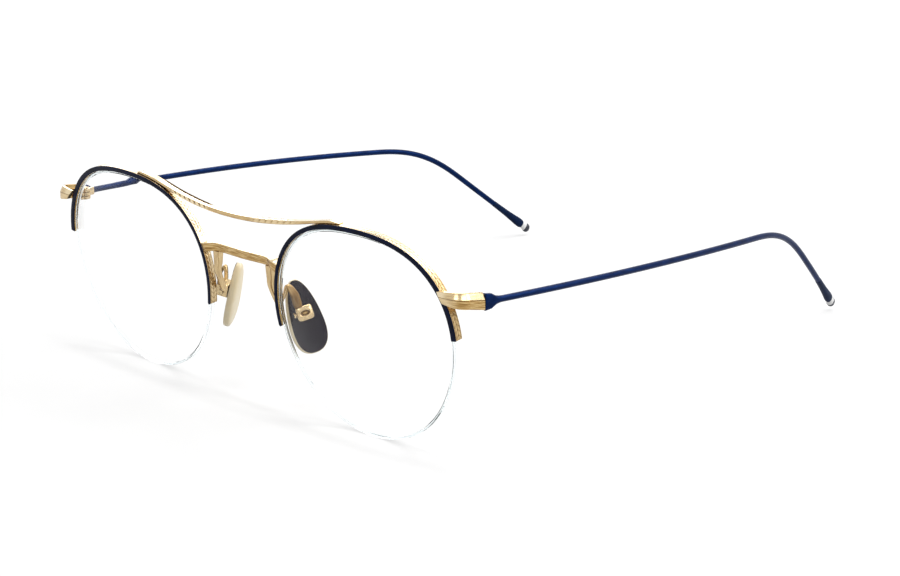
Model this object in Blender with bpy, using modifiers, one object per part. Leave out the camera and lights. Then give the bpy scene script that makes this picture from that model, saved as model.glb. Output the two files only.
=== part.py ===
"""Half-rim aviator eyeglasses.

Gold half rims with a navy enamel face hold clear lenses, which a nylon cord carries from below. A brow bar and a
low bridge join the rims, pads rock on arms under the bridge, and slim navy temples fold on screwed hinges.

Units are metres. +Z is up, +X is the wearer's left and +Y points to the ears. The left half is described, and the
right half is its mirror. The glasses stand on the lower edges of the lenses and on the temple tips.
"""
import math

import bmesh
import bpy
from mathutils import Euler, Matrix, Vector

MM = 0.001
SIDES = {"left": 1, "right": -1}

# Gap between two pieces that touch on the real glasses
SEAT_GAP = 0.2 * MM

# Lens: the box round its outline, the outline's shape, its front curve and its edge
LENS_WIDTH = 47.7 * MM
LENS_HEIGHT = 44.5 * MM
LENS_SQUARE = 0.27 * MM
LENS_DROP = 0.64 * MM
LENS_CURVE_RADIUS = 86.0 * MM
LENS_THICKNESS = 2.0 * MM
LENS_GROOVE_WIDTH = 0.8 * MM
LENS_GROOVE_DEPTH = 0.7 * MM
LENS_STEPS = 48

# Front: the space between the lenses, and how the lenses lean and wrap
LENS_SPACING = 23.3 * MM
FRONT_TILT = math.radians(7.2)
FRONT_WRAP = math.radians(2.5)

# Half rim: a channel that opens to the lens, from its nasal end over the top to its temporal end
RIM_HEIGHT = 1.0 * MM
RIM_SIDE_GROWTH = 0.25 * MM
RIM_DEPTH = 2.0 * MM
RIM_SETBACK = 0.15 * MM
RIM_CHANNEL_WIDTH = 0.9 * MM
RIM_WALL = 0.4 * MM
RIM_CHAMFER = 0.15 * MM
RIM_TEMPORAL_ANGLE = math.radians(8.0)
RIM_NASAL_ANGLE = math.radians(188.0)
RIM_STEPS = 41
ENAMEL_THICKNESS = 0.3 * MM
ENAMEL_ROUND = 0.15 * MM

# Nylon liner in the rim's channel, and the nylon cord in the lens's groove
LINER_RIDGE = 0.3 * MM
LINER_REACH = 0.4 * MM
CORD_RADIUS = 0.22 * MM
CORD_TUCK = 2.5 * MM
CORD_STEPS = 32

# Brow bar: it lies on both rims and dips between them. Its middle's height is from where it leaves the rims
BAR_END_ANGLE = math.radians(99.0)
BAR_LEAVE_ANGLE = math.radians(113.0)
BAR_MIDDLE_HEIGHT = -3.273 * MM
BAR_MIDDLE_DEPTH = -0.8 * MM
BAR_RIM_HANDLE = 4.5 * MM
BAR_MIDDLE_HANDLE = 13.0 * MM
BAR_HALF_HEIGHT = 0.45 * MM
BAR_HALF_DEPTH = 0.6 * MM
BAR_END_HALF_HEIGHT = 0.45 * MM
BAR_END_HALF_DEPTH = 0.85 * MM

# Bridge: a strap between the rims, behind the front of the lenses. Places are from its end on the rim
BRIDGE_ANGLE = math.radians(158.5)
BRIDGE_TILT = math.radians(8.0)
BRIDGE_BEND_X = -3.652 * MM
BRIDGE_BEND_Z = 0.54 * MM
BRIDGE_MIDDLE_Z = 0.44 * MM
BRIDGE_MIDDLE_Y = 0.687 * MM
BRIDGE_HALF_HEIGHT = 0.95 * MM
BRIDGE_SOCKET = 1.0 * MM
BRIDGE_HALF_DEPTH = 1.1 * MM

# Pad: its centre from the bridge's end, its three fitting angles, and its outline
PAD_PIVOT = Vector((2.148, 5.737, -10.76)) * MM
PAD_SPLAY = math.radians(34.0)
PAD_FRONTAL = math.radians(14.5)
PAD_VERTICAL = math.radians(15.0)
PAD_HEIGHT = 15.9 * MM
PAD_WIDTH = 7.0 * MM
PAD_TAPER = 0.27
PAD_DROP = 0.9 * MM
PAD_FACE_THICKNESS = 1.1 * MM
PAD_BACK_THICKNESS = 0.5 * MM
PAD_STEPS = 24

# Pad box and the screw through it
BOX_DEPTH = 2.8 * MM
BOX_WIDTH = 3.4 * MM
BOX_HEIGHT = 3.2 * MM
BOX_WALL = 0.5 * MM
BOX_STANDOFF = 0.4 * MM
BOSS_HEIGHT = 1.5 * MM
BOSS_WALL = 0.25 * MM
PAD_SCREW_RADIUS = 0.3 * MM
PAD_SCREW_HEAD_RADIUS = 0.6 * MM
PAD_SCREW_HEAD = 0.3 * MM

# Pad arm: down from the bridge, back up in a U, and down to the top of the box. The first three points are from the
# bridge's end, and the last three are in the pad's frame
ARM_RADIUS = 0.45 * MM
ARM_ROOT_HALF_WIDTH = 0.8 * MM
ARM_ROOT_HALF_DEPTH = 0.75 * MM
ARM_ROOT = Vector((-2.782, 0.337, -0.76)) * MM
ARM_FRONT_LEG = Vector((-2.582, 0.387, -5.2)) * MM
ARM_FOOT = Vector((-2.052, 2.237, -9.36)) * MM
ARM_RISE = Vector((-0.95, -3.1, 4.1)) * MM
ARM_TOP = Vector((0.0, -1.6, 6.3)) * MM
ARM_SHOULDER = Vector((0.95, -0.95, 4.4)) * MM

# Endpiece: a strap that starts on the rim's face and turns back to the hinge. Its places are from the lens's edge
ENDPIECE_ANGLE = math.radians(30.0)
ENDPIECE_FRONT = Vector((1.562, -1.064, 0.216)) * MM
ENDPIECE_FRONT_HANDLE = Vector((3.2, 0.2, 0.0)) * MM
ENDPIECE_BEND = Vector((6.462, 2.086, -0.234)) * MM
ENDPIECE_BEND_HANDLE = Vector((0.0, -2.2, 0.3)) * MM
ENDPIECE_END = Vector((6.462, 6.186, -1.034)) * MM
ENDPIECE_FRONT_HALF_HEIGHT = 1.1 * MM
ENDPIECE_FRONT_HALF_THICKNESS = 0.4 * MM
ENDPIECE_BEND_HALF_HEIGHT = 1.5 * MM
ENDPIECE_END_HALF_HEIGHT = 1.7 * MM
ENDPIECE_HALF_THICKNESS = 0.6 * MM
ENDPIECE_SLANT = 0.8

# Hinge: three knuckles on an upright screw, inside the endpiece. Its height is from the endpiece's end
HINGE_Z = -0.1 * MM
HINGE_RADIUS = 1.1 * MM
HINGE_OUTER_KNUCKLE = 0.65 * MM
HINGE_MIDDLE_KNUCKLE = 0.7 * MM
HINGE_LEAF = 0.5 * MM
HINGE_LEAF_LENGTH = 1.8 * MM
HINGE_TEMPLE_LEAF_LENGTH = 1.5 * MM
HINGE_SCREW_RADIUS = 0.35 * MM
HINGE_SCREW_HEAD_RADIUS = 0.65 * MM
HINGE_SCREW_HEAD = 0.3 * MM
HINGE_SCREW_SINK = 0.3 * MM
SCREW_SLOT_WIDTH = 0.2 * MM

# Temple: it starts inside the endpiece's end, and the places of its bend are from its rear. Slopes are down from
# level, and toe angles are outward from straight back
TEMPLE_ORIGIN = Vector((0.0, -0.4, -0.2)) * MM
TEMPLE_LENGTH = 147.0 * MM
TEMPLE_BEND_START = 57.0 * MM
TEMPLE_BEND_END = 26.0 * MM
TEMPLE_SLOPES = [math.radians(value) for value in (2.2, 4.5, 38.4)]
TEMPLE_TOES = [math.radians(value) for value in (5.4, -9.0, -17.6)]
TEMPLE_RADIUS = 0.68 * MM
TEMPLE_BLOCK_HALF_HEIGHT = 1.75 * MM
TEMPLE_BLOCK_START = 0.6 * MM
TEMPLE_BLOCK_END = 2.6 * MM
TEMPLE_TAPER_END = 4.2 * MM
TEMPLE_WALK_STEP = 0.5 * MM

# Temple tip: a flared sleeve on the wire's thin core, then a band and an end cap
TIP_LENGTH = 14.0 * MM
TIP_FLARE_LENGTH = 6.0 * MM
TIP_HALF_WIDTH = 1.15 * MM
TIP_HALF_THICKNESS = 0.85 * MM
TIP_CORE_RADIUS = 0.25 * MM
TIP_CORE_LENGTH = 6.0 * MM
TIP_BAND = 1.0 * MM
TIP_CAP = 1.6 * MM

# Drawn size of the guides that carry the pads and hinges
GUIDE_SIZE = 3.0 * MM

COLLECTION = "aviator_eyeglasses"


def clear_scene():
    for item in list(bpy.data.objects):
        bpy.data.objects.remove(item, do_unlink=True)


def new_collection(name):
    group = bpy.data.collections.new(name)
    bpy.context.scene.collection.children.link(group)
    return group


def new_material(name, colour, roughness, metallic=0.0, transmission=0.0):
    material = bpy.data.materials.new(name)
    material.use_nodes = True
    shader = material.node_tree.nodes["Principled BSDF"]
    shader.inputs["Base Color"].default_value = (*colour, 1.0)
    shader.inputs["Roughness"].default_value = roughness
    shader.inputs["Metallic"].default_value = metallic
    shader.inputs["Transmission Weight"].default_value = transmission
    return material


def outline_radius(angle):
    """Distance from the lens's centre to its edge: an oval with fuller diagonals and a fuller foot."""
    mean = (LENS_WIDTH + LENS_HEIGHT) / 4 + LENS_SQUARE
    oval = (LENS_WIDTH - LENS_HEIGHT) / 4
    drop = LENS_DROP * math.sin(3 * angle)
    return mean + oval * math.cos(2 * angle) + drop - LENS_SQUARE * math.cos(4 * angle)


def lens_point(angle, out=0.0, back=0.0, share=1.0):
    """Point at an angle round the lens, out from its edge and back from its front surface."""
    radius = outline_radius(angle) * share
    sag = LENS_CURVE_RADIUS - math.sqrt(LENS_CURVE_RADIUS ** 2 - radius ** 2)
    reach = radius + out
    return Vector((reach * math.cos(angle), sag + back, reach * math.sin(angle)))


def front_pose():
    """Leans and wraps the left lens, and lifts it until its lower edge is at height zero."""
    turn = Matrix.Rotation(FRONT_TILT, 4, "X") @ Matrix.Rotation(FRONT_WRAP, 4, "Z")
    angles = [2 * math.pi * step / LENS_STEPS for step in range(LENS_STEPS)]
    lowest = min((turn @ lens_point(angle)).z for angle in angles)
    return Matrix.Translation(((LENS_SPACING + LENS_WIDTH) / 2, 0, -lowest)) @ turn


FRONT_POSE = front_pose()


def on_front(angle, out=0.0, back=0.0, share=1.0):
    return FRONT_POSE @ lens_point(angle, out, back, share)


def spread(first, last, count):
    """Evenly spaced values from the first to the last."""
    return [first + (last - first) * step / (count - 1) for step in range(count)]


def bezier(start, start_handle, end_handle, end, count):
    points = []
    for t in spread(0.0, 1.0, count):
        s = 1 - t
        points.append(start * s ** 3 + start_handle * (3 * s * s * t) + end_handle * (3 * s * t * t) + end * t ** 3)
    return points


def smooth_path(points, count):
    """Catmull-Rom curve through the points, with the given count of steps between each two."""
    ends = [points[0] * 2 - points[1], *points, points[-1] * 2 - points[-2]]
    path = []
    for before, start, end, after in zip(ends, ends[1:], ends[2:], ends[3:]):
        for step in range(count):
            t = step / count
            path.append(0.5 * (start * 2 + (end - before) * t
                               + (before * 2 - start * 5 + end * 4 - after) * t ** 2
                               + (start * 3 - before - end * 3 + after) * t ** 3))
    return [*path, points[-1]]


def tangents(path):
    """Unit direction of the path at each of its points."""
    ends = [path[0] * 2 - path[1], *path, path[-1] * 2 - path[-2]]
    return [(after - before).normalized() for before, after in zip(ends, ends[2:])]


def add_object(name, data, material, group, parent=None):
    item = bpy.data.objects.new(name, data)
    group.objects.link(item)
    if not data.materials:
        data.materials.append(material)
    if parent is not None:
        item.parent = parent
    return item


def mesh_object(name, bm, material, group, parent=None, sharp_angle=35.0):
    bmesh.ops.recalc_face_normals(bm, faces=bm.faces)
    mesh = bpy.data.meshes.new(name)
    bm.to_mesh(mesh)
    bm.free()
    mesh.shade_smooth()
    mesh.set_sharp_from_angle(angle=math.radians(sharp_angle))
    return add_object(name, mesh, material, group, parent)


def loft(name, rings, side, material, group, parent=None, pivot=Vector()):
    """Closed solid through rings of points. A ring of one point is a pole, and other end rings are capped."""
    bm = bmesh.new()
    loops = [[bm.verts.new(((p.x - pivot.x) * side, p.y - pivot.y, p.z - pivot.z)) for p in ring] for ring in rings]
    for first, second in zip(loops, loops[1:]):
        count = max(len(first), len(second))
        for i in range(count):
            j = (i + 1) % count
            corners = [first[i % len(first)], first[j % len(first)], second[j % len(second)], second[i % len(second)]]
            bm.faces.new(list(dict.fromkeys(corners)))
    for end in (loops[0], loops[-1]):
        if len(end) > 1:
            bm.faces.new(end)
    return mesh_object(name, bm, material, group, parent)


def sweep_rings(path, sizes, reference, count=12):
    """Rings across a path. A size is a half width along the reference, a half width across it, how square the
    section is, from 2 for an oval, and how far the ring leans along the path per unit of the first width."""
    rings = []
    for point, ahead, (wide, deep, power, slant) in zip(path, tangents(path), sizes):
        first = (reference - ahead * reference.dot(ahead)).normalized()
        second = ahead.cross(first)
        ring = []
        for step in range(count):
            angle = 2 * math.pi * (step + 0.5) / count
            a = math.copysign(abs(math.cos(angle)) ** (2 / power), math.cos(angle)) * wide
            b = math.copysign(abs(math.sin(angle)) ** (2 / power), math.sin(angle)) * deep
            ring.append(point + first * a + second * b + ahead * (slant * a))
        rings.append(ring)
    return rings


def blend_sizes(distances, stops):
    """Sizes at distances along a path, straight between stops of (distance, size, size, power, slant)."""
    sizes = []
    for distance in distances:
        size = stops[-1][1:]
        if distance <= stops[0][0]:
            size = stops[0][1:]
        else:
            for low, high in zip(stops, stops[1:]):
                if low[0] <= distance < high[0]:
                    t = (distance - low[0]) / (high[0] - low[0])
                    size = tuple(a + (b - a) * t for a, b in zip(low[1:], high[1:]))
        sizes.append(size)
    return sizes


def path_distances(path):
    distances = [0.0]
    for first, second in zip(path, path[1:]):
        distances.append(distances[-1] + (second - first).length)
    return distances


def cylinder(name, radius, length, place, turn, group, segments=16):
    """Cylinder on Z, turned and placed."""
    bpy.ops.mesh.primitive_cylinder_add(vertices=segments, radius=radius, depth=length, location=place, rotation=turn)
    return take_active(name, group)


def box(name, size, place, turn, group):
    bpy.ops.mesh.primitive_cube_add(size=1, location=place, rotation=turn)
    bpy.context.object.scale = size
    bpy.ops.object.transform_apply(location=False, rotation=False, scale=True)
    return take_active(name, group)


def take_active(name, group):
    item = bpy.context.object
    item.name = name
    item.data.name = name
    for owner in list(item.users_collection):
        owner.objects.unlink(item)
    group.objects.link(item)
    return item


def combine(item, tool, operation):
    """Joins a guide to the object or cuts it out, and hides the guide."""
    modifier = item.modifiers.new(tool.name, "BOOLEAN")
    modifier.operation = operation
    modifier.object = tool
    modifier.solver = "EXACT"
    tool.hide_render = True
    tool.display_type = "WIRE"


def turned(name, profile, material, group, parent, steps=16):
    """Turned solid about Z from a profile of (radius, height) that runs from the top to the bottom."""
    bm = bmesh.new()
    points = [bm.verts.new((radius, 0, height)) for radius, height in profile]
    for first, second in zip(points, points[1:]):
        bm.edges.new((first, second))
    mesh = bpy.data.meshes.new(name)
    bm.to_mesh(mesh)
    bm.free()
    item = add_object(name, mesh, material, group, parent)
    screw = item.modifiers.new("turn", "SCREW")
    screw.steps = steps
    screw.render_steps = steps
    screw.use_merge_vertices = True
    screw.merge_threshold = 0.001 * MM
    screw.use_smooth_shade = False
    return item


def empty(name, place, turn, group):
    item = bpy.data.objects.new(name, None)
    item.empty_display_size = GUIDE_SIZE
    item.location = place
    item.rotation_euler = turn
    group.objects.link(item)
    return item


def mirrored(point, side):
    return Vector((point.x * side, point.y, point.z))


def rim_outer(angle):
    """How far the rim's outer side lies out from the lens's edge. The rim is taller at the sides than on top."""
    return SEAT_GAP + RIM_HEIGHT + RIM_SIDE_GROWTH * math.cos(angle) ** 2


def rim_section(angle):
    """The channel's section as (out, back) from the lens's edge, counted round the metal."""
    inner = SEAT_GAP
    outer = rim_outer(angle)
    front = RIM_SETBACK
    rear = front + RIM_DEPTH
    middle = LENS_THICKNESS / 2
    channel_front = middle - RIM_CHANNEL_WIDTH / 2
    channel_rear = middle + RIM_CHANNEL_WIDTH / 2
    floor = outer - RIM_WALL
    return [
        (inner, front), (outer - RIM_CHAMFER, front), (outer, front + RIM_CHAMFER),
        (outer, rear - RIM_CHAMFER), (outer - RIM_CHAMFER, rear), (inner, rear),
        (inner, channel_rear), (floor, channel_rear), (floor, channel_front), (inner, channel_front),
    ]


def enamel_section(angle):
    inner = SEAT_GAP
    outer = rim_outer(angle)
    seat = RIM_SETBACK - SEAT_GAP
    face = seat - ENAMEL_THICKNESS
    return [
        (inner, seat), (inner, face + ENAMEL_ROUND), (inner + ENAMEL_ROUND, face),
        (outer - ENAMEL_ROUND, face), (outer, face + ENAMEL_ROUND), (outer, seat),
    ]


def liner_section(angle):
    """A ridge in the lens's groove on a body in the rim's channel."""
    middle = LENS_THICKNESS / 2
    body = RIM_CHANNEL_WIDTH / 2 - SEAT_GAP
    ridge = LINER_RIDGE / 2
    floor = rim_outer(angle) - RIM_WALL - SEAT_GAP
    return [
        (SEAT_GAP, middle - body), (floor, middle - body), (floor, middle + body), (SEAT_GAP, middle + body),
        (SEAT_GAP, middle + ridge), (-LINER_REACH, middle + ridge),
        (-LINER_REACH, middle - ridge), (SEAT_GAP, middle - ridge),
    ]


def along_rim(section, first_angle, last_angle, count):
    angles = spread(first_angle, last_angle, count)
    return [[on_front(angle, out, back) for out, back in section(angle)] for angle in angles]


def tuck_angle(length):
    """Angle that a length along the rim takes up."""
    return length / outline_radius(0.0)


def build_rim(label, side, looks, group):
    angles = (RIM_TEMPORAL_ANGLE, RIM_NASAL_ANGLE, RIM_STEPS)
    loft(label + "_rim", along_rim(rim_section, *angles), side, looks["gold"], group)
    loft(label + "_rim_enamel", along_rim(enamel_section, *angles), side, looks["enamel"], group)
    inset = tuck_angle(CORD_TUCK + 2 * SEAT_GAP)
    liner = along_rim(liner_section, RIM_TEMPORAL_ANGLE + inset, RIM_NASAL_ANGLE - inset, RIM_STEPS)
    loft(label + "_rim_liner", liner, side, looks["nylon"], group)


def build_lens(label, side, looks, group):
    middle = LENS_THICKNESS / 2
    groove = LENS_GROOVE_WIDTH / 2
    edge = [
        (0.0, middle - groove), (-LENS_GROOVE_DEPTH, middle - groove),
        (-LENS_GROOVE_DEPTH, middle + groove), (0.0, middle + groove),
    ]
    stages = [(0.35, 0.0, 0.0), (0.7, 0.0, 0.0), (1.0, 0.0, 0.0)]
    stages += [(1.0, out, back) for out, back in edge]
    stages += [(1.0, 0.0, LENS_THICKNESS), (0.7, 0.0, LENS_THICKNESS), (0.35, 0.0, LENS_THICKNESS)]
    angles = [2 * math.pi * step / LENS_STEPS for step in range(LENS_STEPS)]
    rings = [[on_front(0.0, 0.0, 0.0, 0.0)]]
    rings += [[on_front(angle, out, back, share) for angle in angles] for share, out, back in stages]
    rings.append([on_front(0.0, 0.0, LENS_THICKNESS, 0.0)])
    loft(label + "_lens", rings, side, looks["lens"], group)


def build_lens_cord(label, side, looks, group):
    """Nylon cord in the lens's groove, with both ends tucked into the rim's channel."""
    inset = tuck_angle(CORD_TUCK)
    first = RIM_TEMPORAL_ANGLE + inset
    last = RIM_NASAL_ANGLE - inset - 2 * math.pi
    depth = CORD_RADIUS + SEAT_GAP - LENS_GROOVE_DEPTH
    points = [on_front(angle, depth, LENS_THICKNESS / 2) for angle in spread(first, last, CORD_STEPS)]
    curve = bpy.data.curves.new(label + "_lens_cord", "CURVE")
    curve.dimensions = "3D"
    curve.bevel_depth = CORD_RADIUS
    curve.bevel_resolution = 1
    curve.use_fill_caps = True
    spline = curve.splines.new("POLY")
    spline.points.add(len(points) - 1)
    for target, point in zip(spline.points, points):
        target.co = (*mirrored(point, side), 1.0)
    add_object(label + "_lens_cord", curve, looks["nylon"], group)


def from_temporal_side(offset):
    """Point at an offset from the lens's edge where the endpiece starts."""
    return on_front(ENDPIECE_ANGLE) + offset


def build_brow_bar(looks, group):
    seat = SEAT_GAP + BAR_END_HALF_HEIGHT
    back = RIM_SETBACK + RIM_DEPTH / 2
    angles = spread(BAR_END_ANGLE, BAR_LEAVE_ANGLE, 5)
    on_rim = [on_front(angle, rim_outer(angle) + seat, back) for angle in angles]
    leave = on_rim[-1]
    middle = Vector((0, BAR_MIDDLE_DEPTH, leave.z + BAR_MIDDLE_HEIGHT))
    ahead = (on_rim[-1] - on_rim[-2]).normalized()
    dip = bezier(leave, leave + ahead * BAR_RIM_HANDLE, middle + Vector((BAR_MIDDLE_HANDLE, 0, 0)), middle, 11)
    half = on_rim + dip[1:]
    path = half + [mirrored(point, -1) for point in reversed(half[:-1])]
    distances = path_distances(path)
    total = distances[-1]
    rim_length = distances[len(on_rim) - 1]
    end = (BAR_END_HALF_DEPTH, BAR_END_HALF_HEIGHT, 3.0, 0.0)
    centre = (BAR_HALF_DEPTH, BAR_HALF_HEIGHT, 2.4, 0.0)
    stops = [(0.0, *end), (rim_length, *end), (total / 2, *centre), (total - rim_length, *end), (total, *end)]
    rings = sweep_rings(path, blend_sizes(distances, stops), Vector((0, 1, 0)), 10)
    loft("brow_bar", rings, 1, looks["gold"], group)


def bridge_end(reach):
    """Middle of the bridge's end, which faces the rim's nasal side, or a point straight out from it."""
    return on_front(BRIDGE_ANGLE, rim_outer(BRIDGE_ANGLE) + SEAT_GAP + reach, RIM_SETBACK + RIM_DEPTH / 2)


def from_bridge_end(offset):
    """Point at an offset from the middle of the bridge's end on the left rim."""
    return bridge_end(0.0) + offset


def build_bridge(looks, group):
    bend = from_bridge_end(Vector((BRIDGE_BEND_X, BRIDGE_MIDDLE_Y, BRIDGE_BEND_Z)))
    half = [bridge_end(0.0), bridge_end(BRIDGE_SOCKET), bend]
    middle = Vector((0, bend.y, bridge_end(0.0).z + BRIDGE_MIDDLE_Z))
    knots = half + [middle] + [mirrored(point, -1) for point in reversed(half)]
    path = smooth_path(knots, 5)
    size = (BRIDGE_HALF_DEPTH, BRIDGE_HALF_HEIGHT, 3.0, 0.0)
    across = Vector((0, math.cos(BRIDGE_TILT), math.sin(BRIDGE_TILT)))
    rings = sweep_rings(path, [size] * len(path), across, 10)
    loft("bridge", rings, 1, looks["gold"], group)


def pad_turn(side):
    return Euler((PAD_VERTICAL, -PAD_FRONTAL * side, -PAD_SPLAY * side), "XYZ")


def pad_to_world(point):
    """Place of a point of the left pad's own frame."""
    return from_bridge_end(PAD_PIVOT) + pad_turn(1).to_matrix() @ point


def build_pad_arm(label, side, looks, group):
    end = Vector((ARM_SHOULDER.x, ARM_SHOULDER.y, BOX_HEIGHT / 2 + SEAT_GAP))
    upper = [ARM_RISE, ARM_TOP, ARM_SHOULDER, end]
    lower = [ARM_ROOT, ARM_FRONT_LEG, ARM_FOOT]
    knots = [from_bridge_end(point) for point in lower] + [pad_to_world(point) for point in upper]
    steps = 4
    path = smooth_path(knots, steps)
    distances = path_distances(path)
    stops = [
        (0.0, ARM_ROOT_HALF_WIDTH, ARM_ROOT_HALF_DEPTH, 3.0, 0.0),
        (distances[2 * steps], ARM_RADIUS, ARM_RADIUS, 2.0, 0.0),
        (distances[-1], ARM_RADIUS, ARM_RADIUS, 2.0, 0.0),
    ]
    rings = sweep_rings(path, blend_sizes(distances, stops), Vector((1, 0, 0)), 8)
    loft(label + "_pad_arm", rings, side, looks["gold"], group)


def pad_ring(share, place_x):
    """Ring round the pad, narrower at its top, at a place along the pad's thickness."""
    ring = []
    for step in range(PAD_STEPS):
        angle = 2 * math.pi * step / PAD_STEPS
        up = math.copysign(abs(math.sin(angle)) ** 0.82, math.sin(angle))
        across = math.copysign(abs(math.cos(angle)) ** 0.87, math.cos(angle))
        y = PAD_WIDTH / 2 * across * (1 - PAD_TAPER * up) * share
        z = PAD_HEIGHT / 2 * up * share
        ring.append(Vector((place_x, y, z - PAD_DROP)))
    return ring


def boss_ring(place_x):
    """Ring round the boss, with the same count of points as the pad."""
    half_width = BOX_WIDTH / 2 - BOX_WALL - SEAT_GAP
    half_height = BOSS_HEIGHT / 2
    ring = []
    for step in range(PAD_STEPS):
        angle = 2 * math.pi * step / PAD_STEPS
        reach = max(abs(math.cos(angle)), abs(math.sin(angle)))
        ring.append(Vector((place_x, math.cos(angle) / reach * half_width, math.sin(angle) / reach * half_height)))
    return ring


def build_pad(label, side, looks, group, cutters, pivot):
    """Nose face, backing plate with its boss, both in the pad's own frame, whose Y is the rocking axis."""
    plate_rear = -BOX_DEPTH / 2 - BOX_STANDOFF
    plate_front = plate_rear - PAD_BACK_THICKNESS
    face_rear = plate_front - SEAT_GAP
    thick = PAD_FACE_THICKNESS
    face = [[Vector((face_rear, 0, -PAD_DROP))]]
    face += [pad_ring(share, face_rear - thick * depth) for share, depth in (
        (0.92, 0.0), (1.0, 0.16), (1.0, 0.36), (0.92, 0.68), (0.62, 0.92))]
    face.append([Vector((face_rear - thick, 0, -PAD_DROP))])
    loft(label + "_pad", face, side, looks["ivory"], group, pivot)
    boss_top = PAD_SCREW_RADIUS + SEAT_GAP / 2 + BOSS_WALL
    plate = [pad_ring(0.9, plate_front), pad_ring(0.96, plate_front + PAD_BACK_THICKNESS / 3)]
    plate += [pad_ring(0.9, plate_rear), boss_ring(plate_rear), boss_ring(boss_top)]
    back = loft(label + "_pad_plate", plate, side, looks["slate"], group, pivot)
    hole = cylinder(label + "_pad_hole", PAD_SCREW_RADIUS + SEAT_GAP / 2, BOX_WIDTH * 2, (0, 0, 0),
                    (math.pi / 2, 0, 0), cutters, 12)
    hole.parent = pivot
    combine(back, hole, "DIFFERENCE")


def build_pad_box(label, side, looks, group, cutters, seat):
    """Open box on the arm, with the screw that the pad rocks on, in the pad's own frame at rest."""
    outer = box(label + "_pad_box", (BOX_DEPTH, BOX_WIDTH, BOX_HEIGHT), (0, 0, 0), (0, 0, 0), group)
    outer.data.materials.append(looks["gold"])
    outer.parent = seat
    bevel = outer.modifiers.new("rounding", "BEVEL")
    bevel.width = BOX_WALL
    bevel.segments = 2
    inside = (BOX_DEPTH, BOX_WIDTH - 2 * BOX_WALL, BOX_HEIGHT - 2 * BOX_WALL)
    room = box(label + "_pad_box_room", inside, (-BOX_WALL * side, 0, 0), (0, 0, 0), cutters)
    room.parent = seat
    combine(outer, room, "DIFFERENCE")
    hole = cylinder(label + "_pad_box_hole", PAD_SCREW_RADIUS + SEAT_GAP / 2, BOX_WIDTH * 2, (0, 0, 0),
                    (math.pi / 2, 0, 0), cutters, 12)
    hole.parent = seat
    combine(outer, hole, "DIFFERENCE")
    head_low = BOX_WIDTH / 2 + SEAT_GAP
    profile = [
        (0.0, head_low + PAD_SCREW_HEAD), (PAD_SCREW_HEAD_RADIUS * 0.8, head_low + PAD_SCREW_HEAD),
        (PAD_SCREW_HEAD_RADIUS, head_low + PAD_SCREW_HEAD / 2), (PAD_SCREW_HEAD_RADIUS, head_low),
        (PAD_SCREW_RADIUS, head_low), (PAD_SCREW_RADIUS, -BOX_WIDTH / 2), (0.0, -BOX_WIDTH / 2),
    ]
    screw = turned(label + "_pad_screw", profile, looks["gold"], group, seat, 12)
    screw.rotation_euler = (math.pi / 2, 0, 0)


def build_endpiece(label, side, looks, group):
    front = from_temporal_side(ENDPIECE_FRONT)
    bend = from_temporal_side(ENDPIECE_BEND)
    end = from_temporal_side(ENDPIECE_END)
    steps = 10
    path = bezier(front, front + ENDPIECE_FRONT_HANDLE, bend + ENDPIECE_BEND_HANDLE, bend, steps) + [end]
    distances = path_distances(path)
    fall = (end.z - bend.z) / (end.y - bend.y)
    stops = [
        (0.0, ENDPIECE_FRONT_HALF_HEIGHT, ENDPIECE_FRONT_HALF_THICKNESS, 5.0, -ENDPIECE_SLANT),
        (distances[steps // 2], ENDPIECE_BEND_HALF_HEIGHT, ENDPIECE_HALF_THICKNESS, 5.0, 0.0),
        (distances[-1], ENDPIECE_END_HALF_HEIGHT, ENDPIECE_HALF_THICKNESS, 5.0, fall),
    ]
    rings = sweep_rings(path, blend_sizes(distances, stops), Vector((0, 0, 1)), 12)
    loft(label + "_endpiece", rings, side, looks["gold"], group)


def hinge_axis():
    """Point on the hinge's upright axis, level with the middle of its knuckles."""
    end = from_temporal_side(ENDPIECE_END)
    x = end.x - ENDPIECE_HALF_THICKNESS - SEAT_GAP - HINGE_RADIUS
    return Vector((x, end.y + SEAT_GAP / 2, end.z + HINGE_Z))


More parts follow.
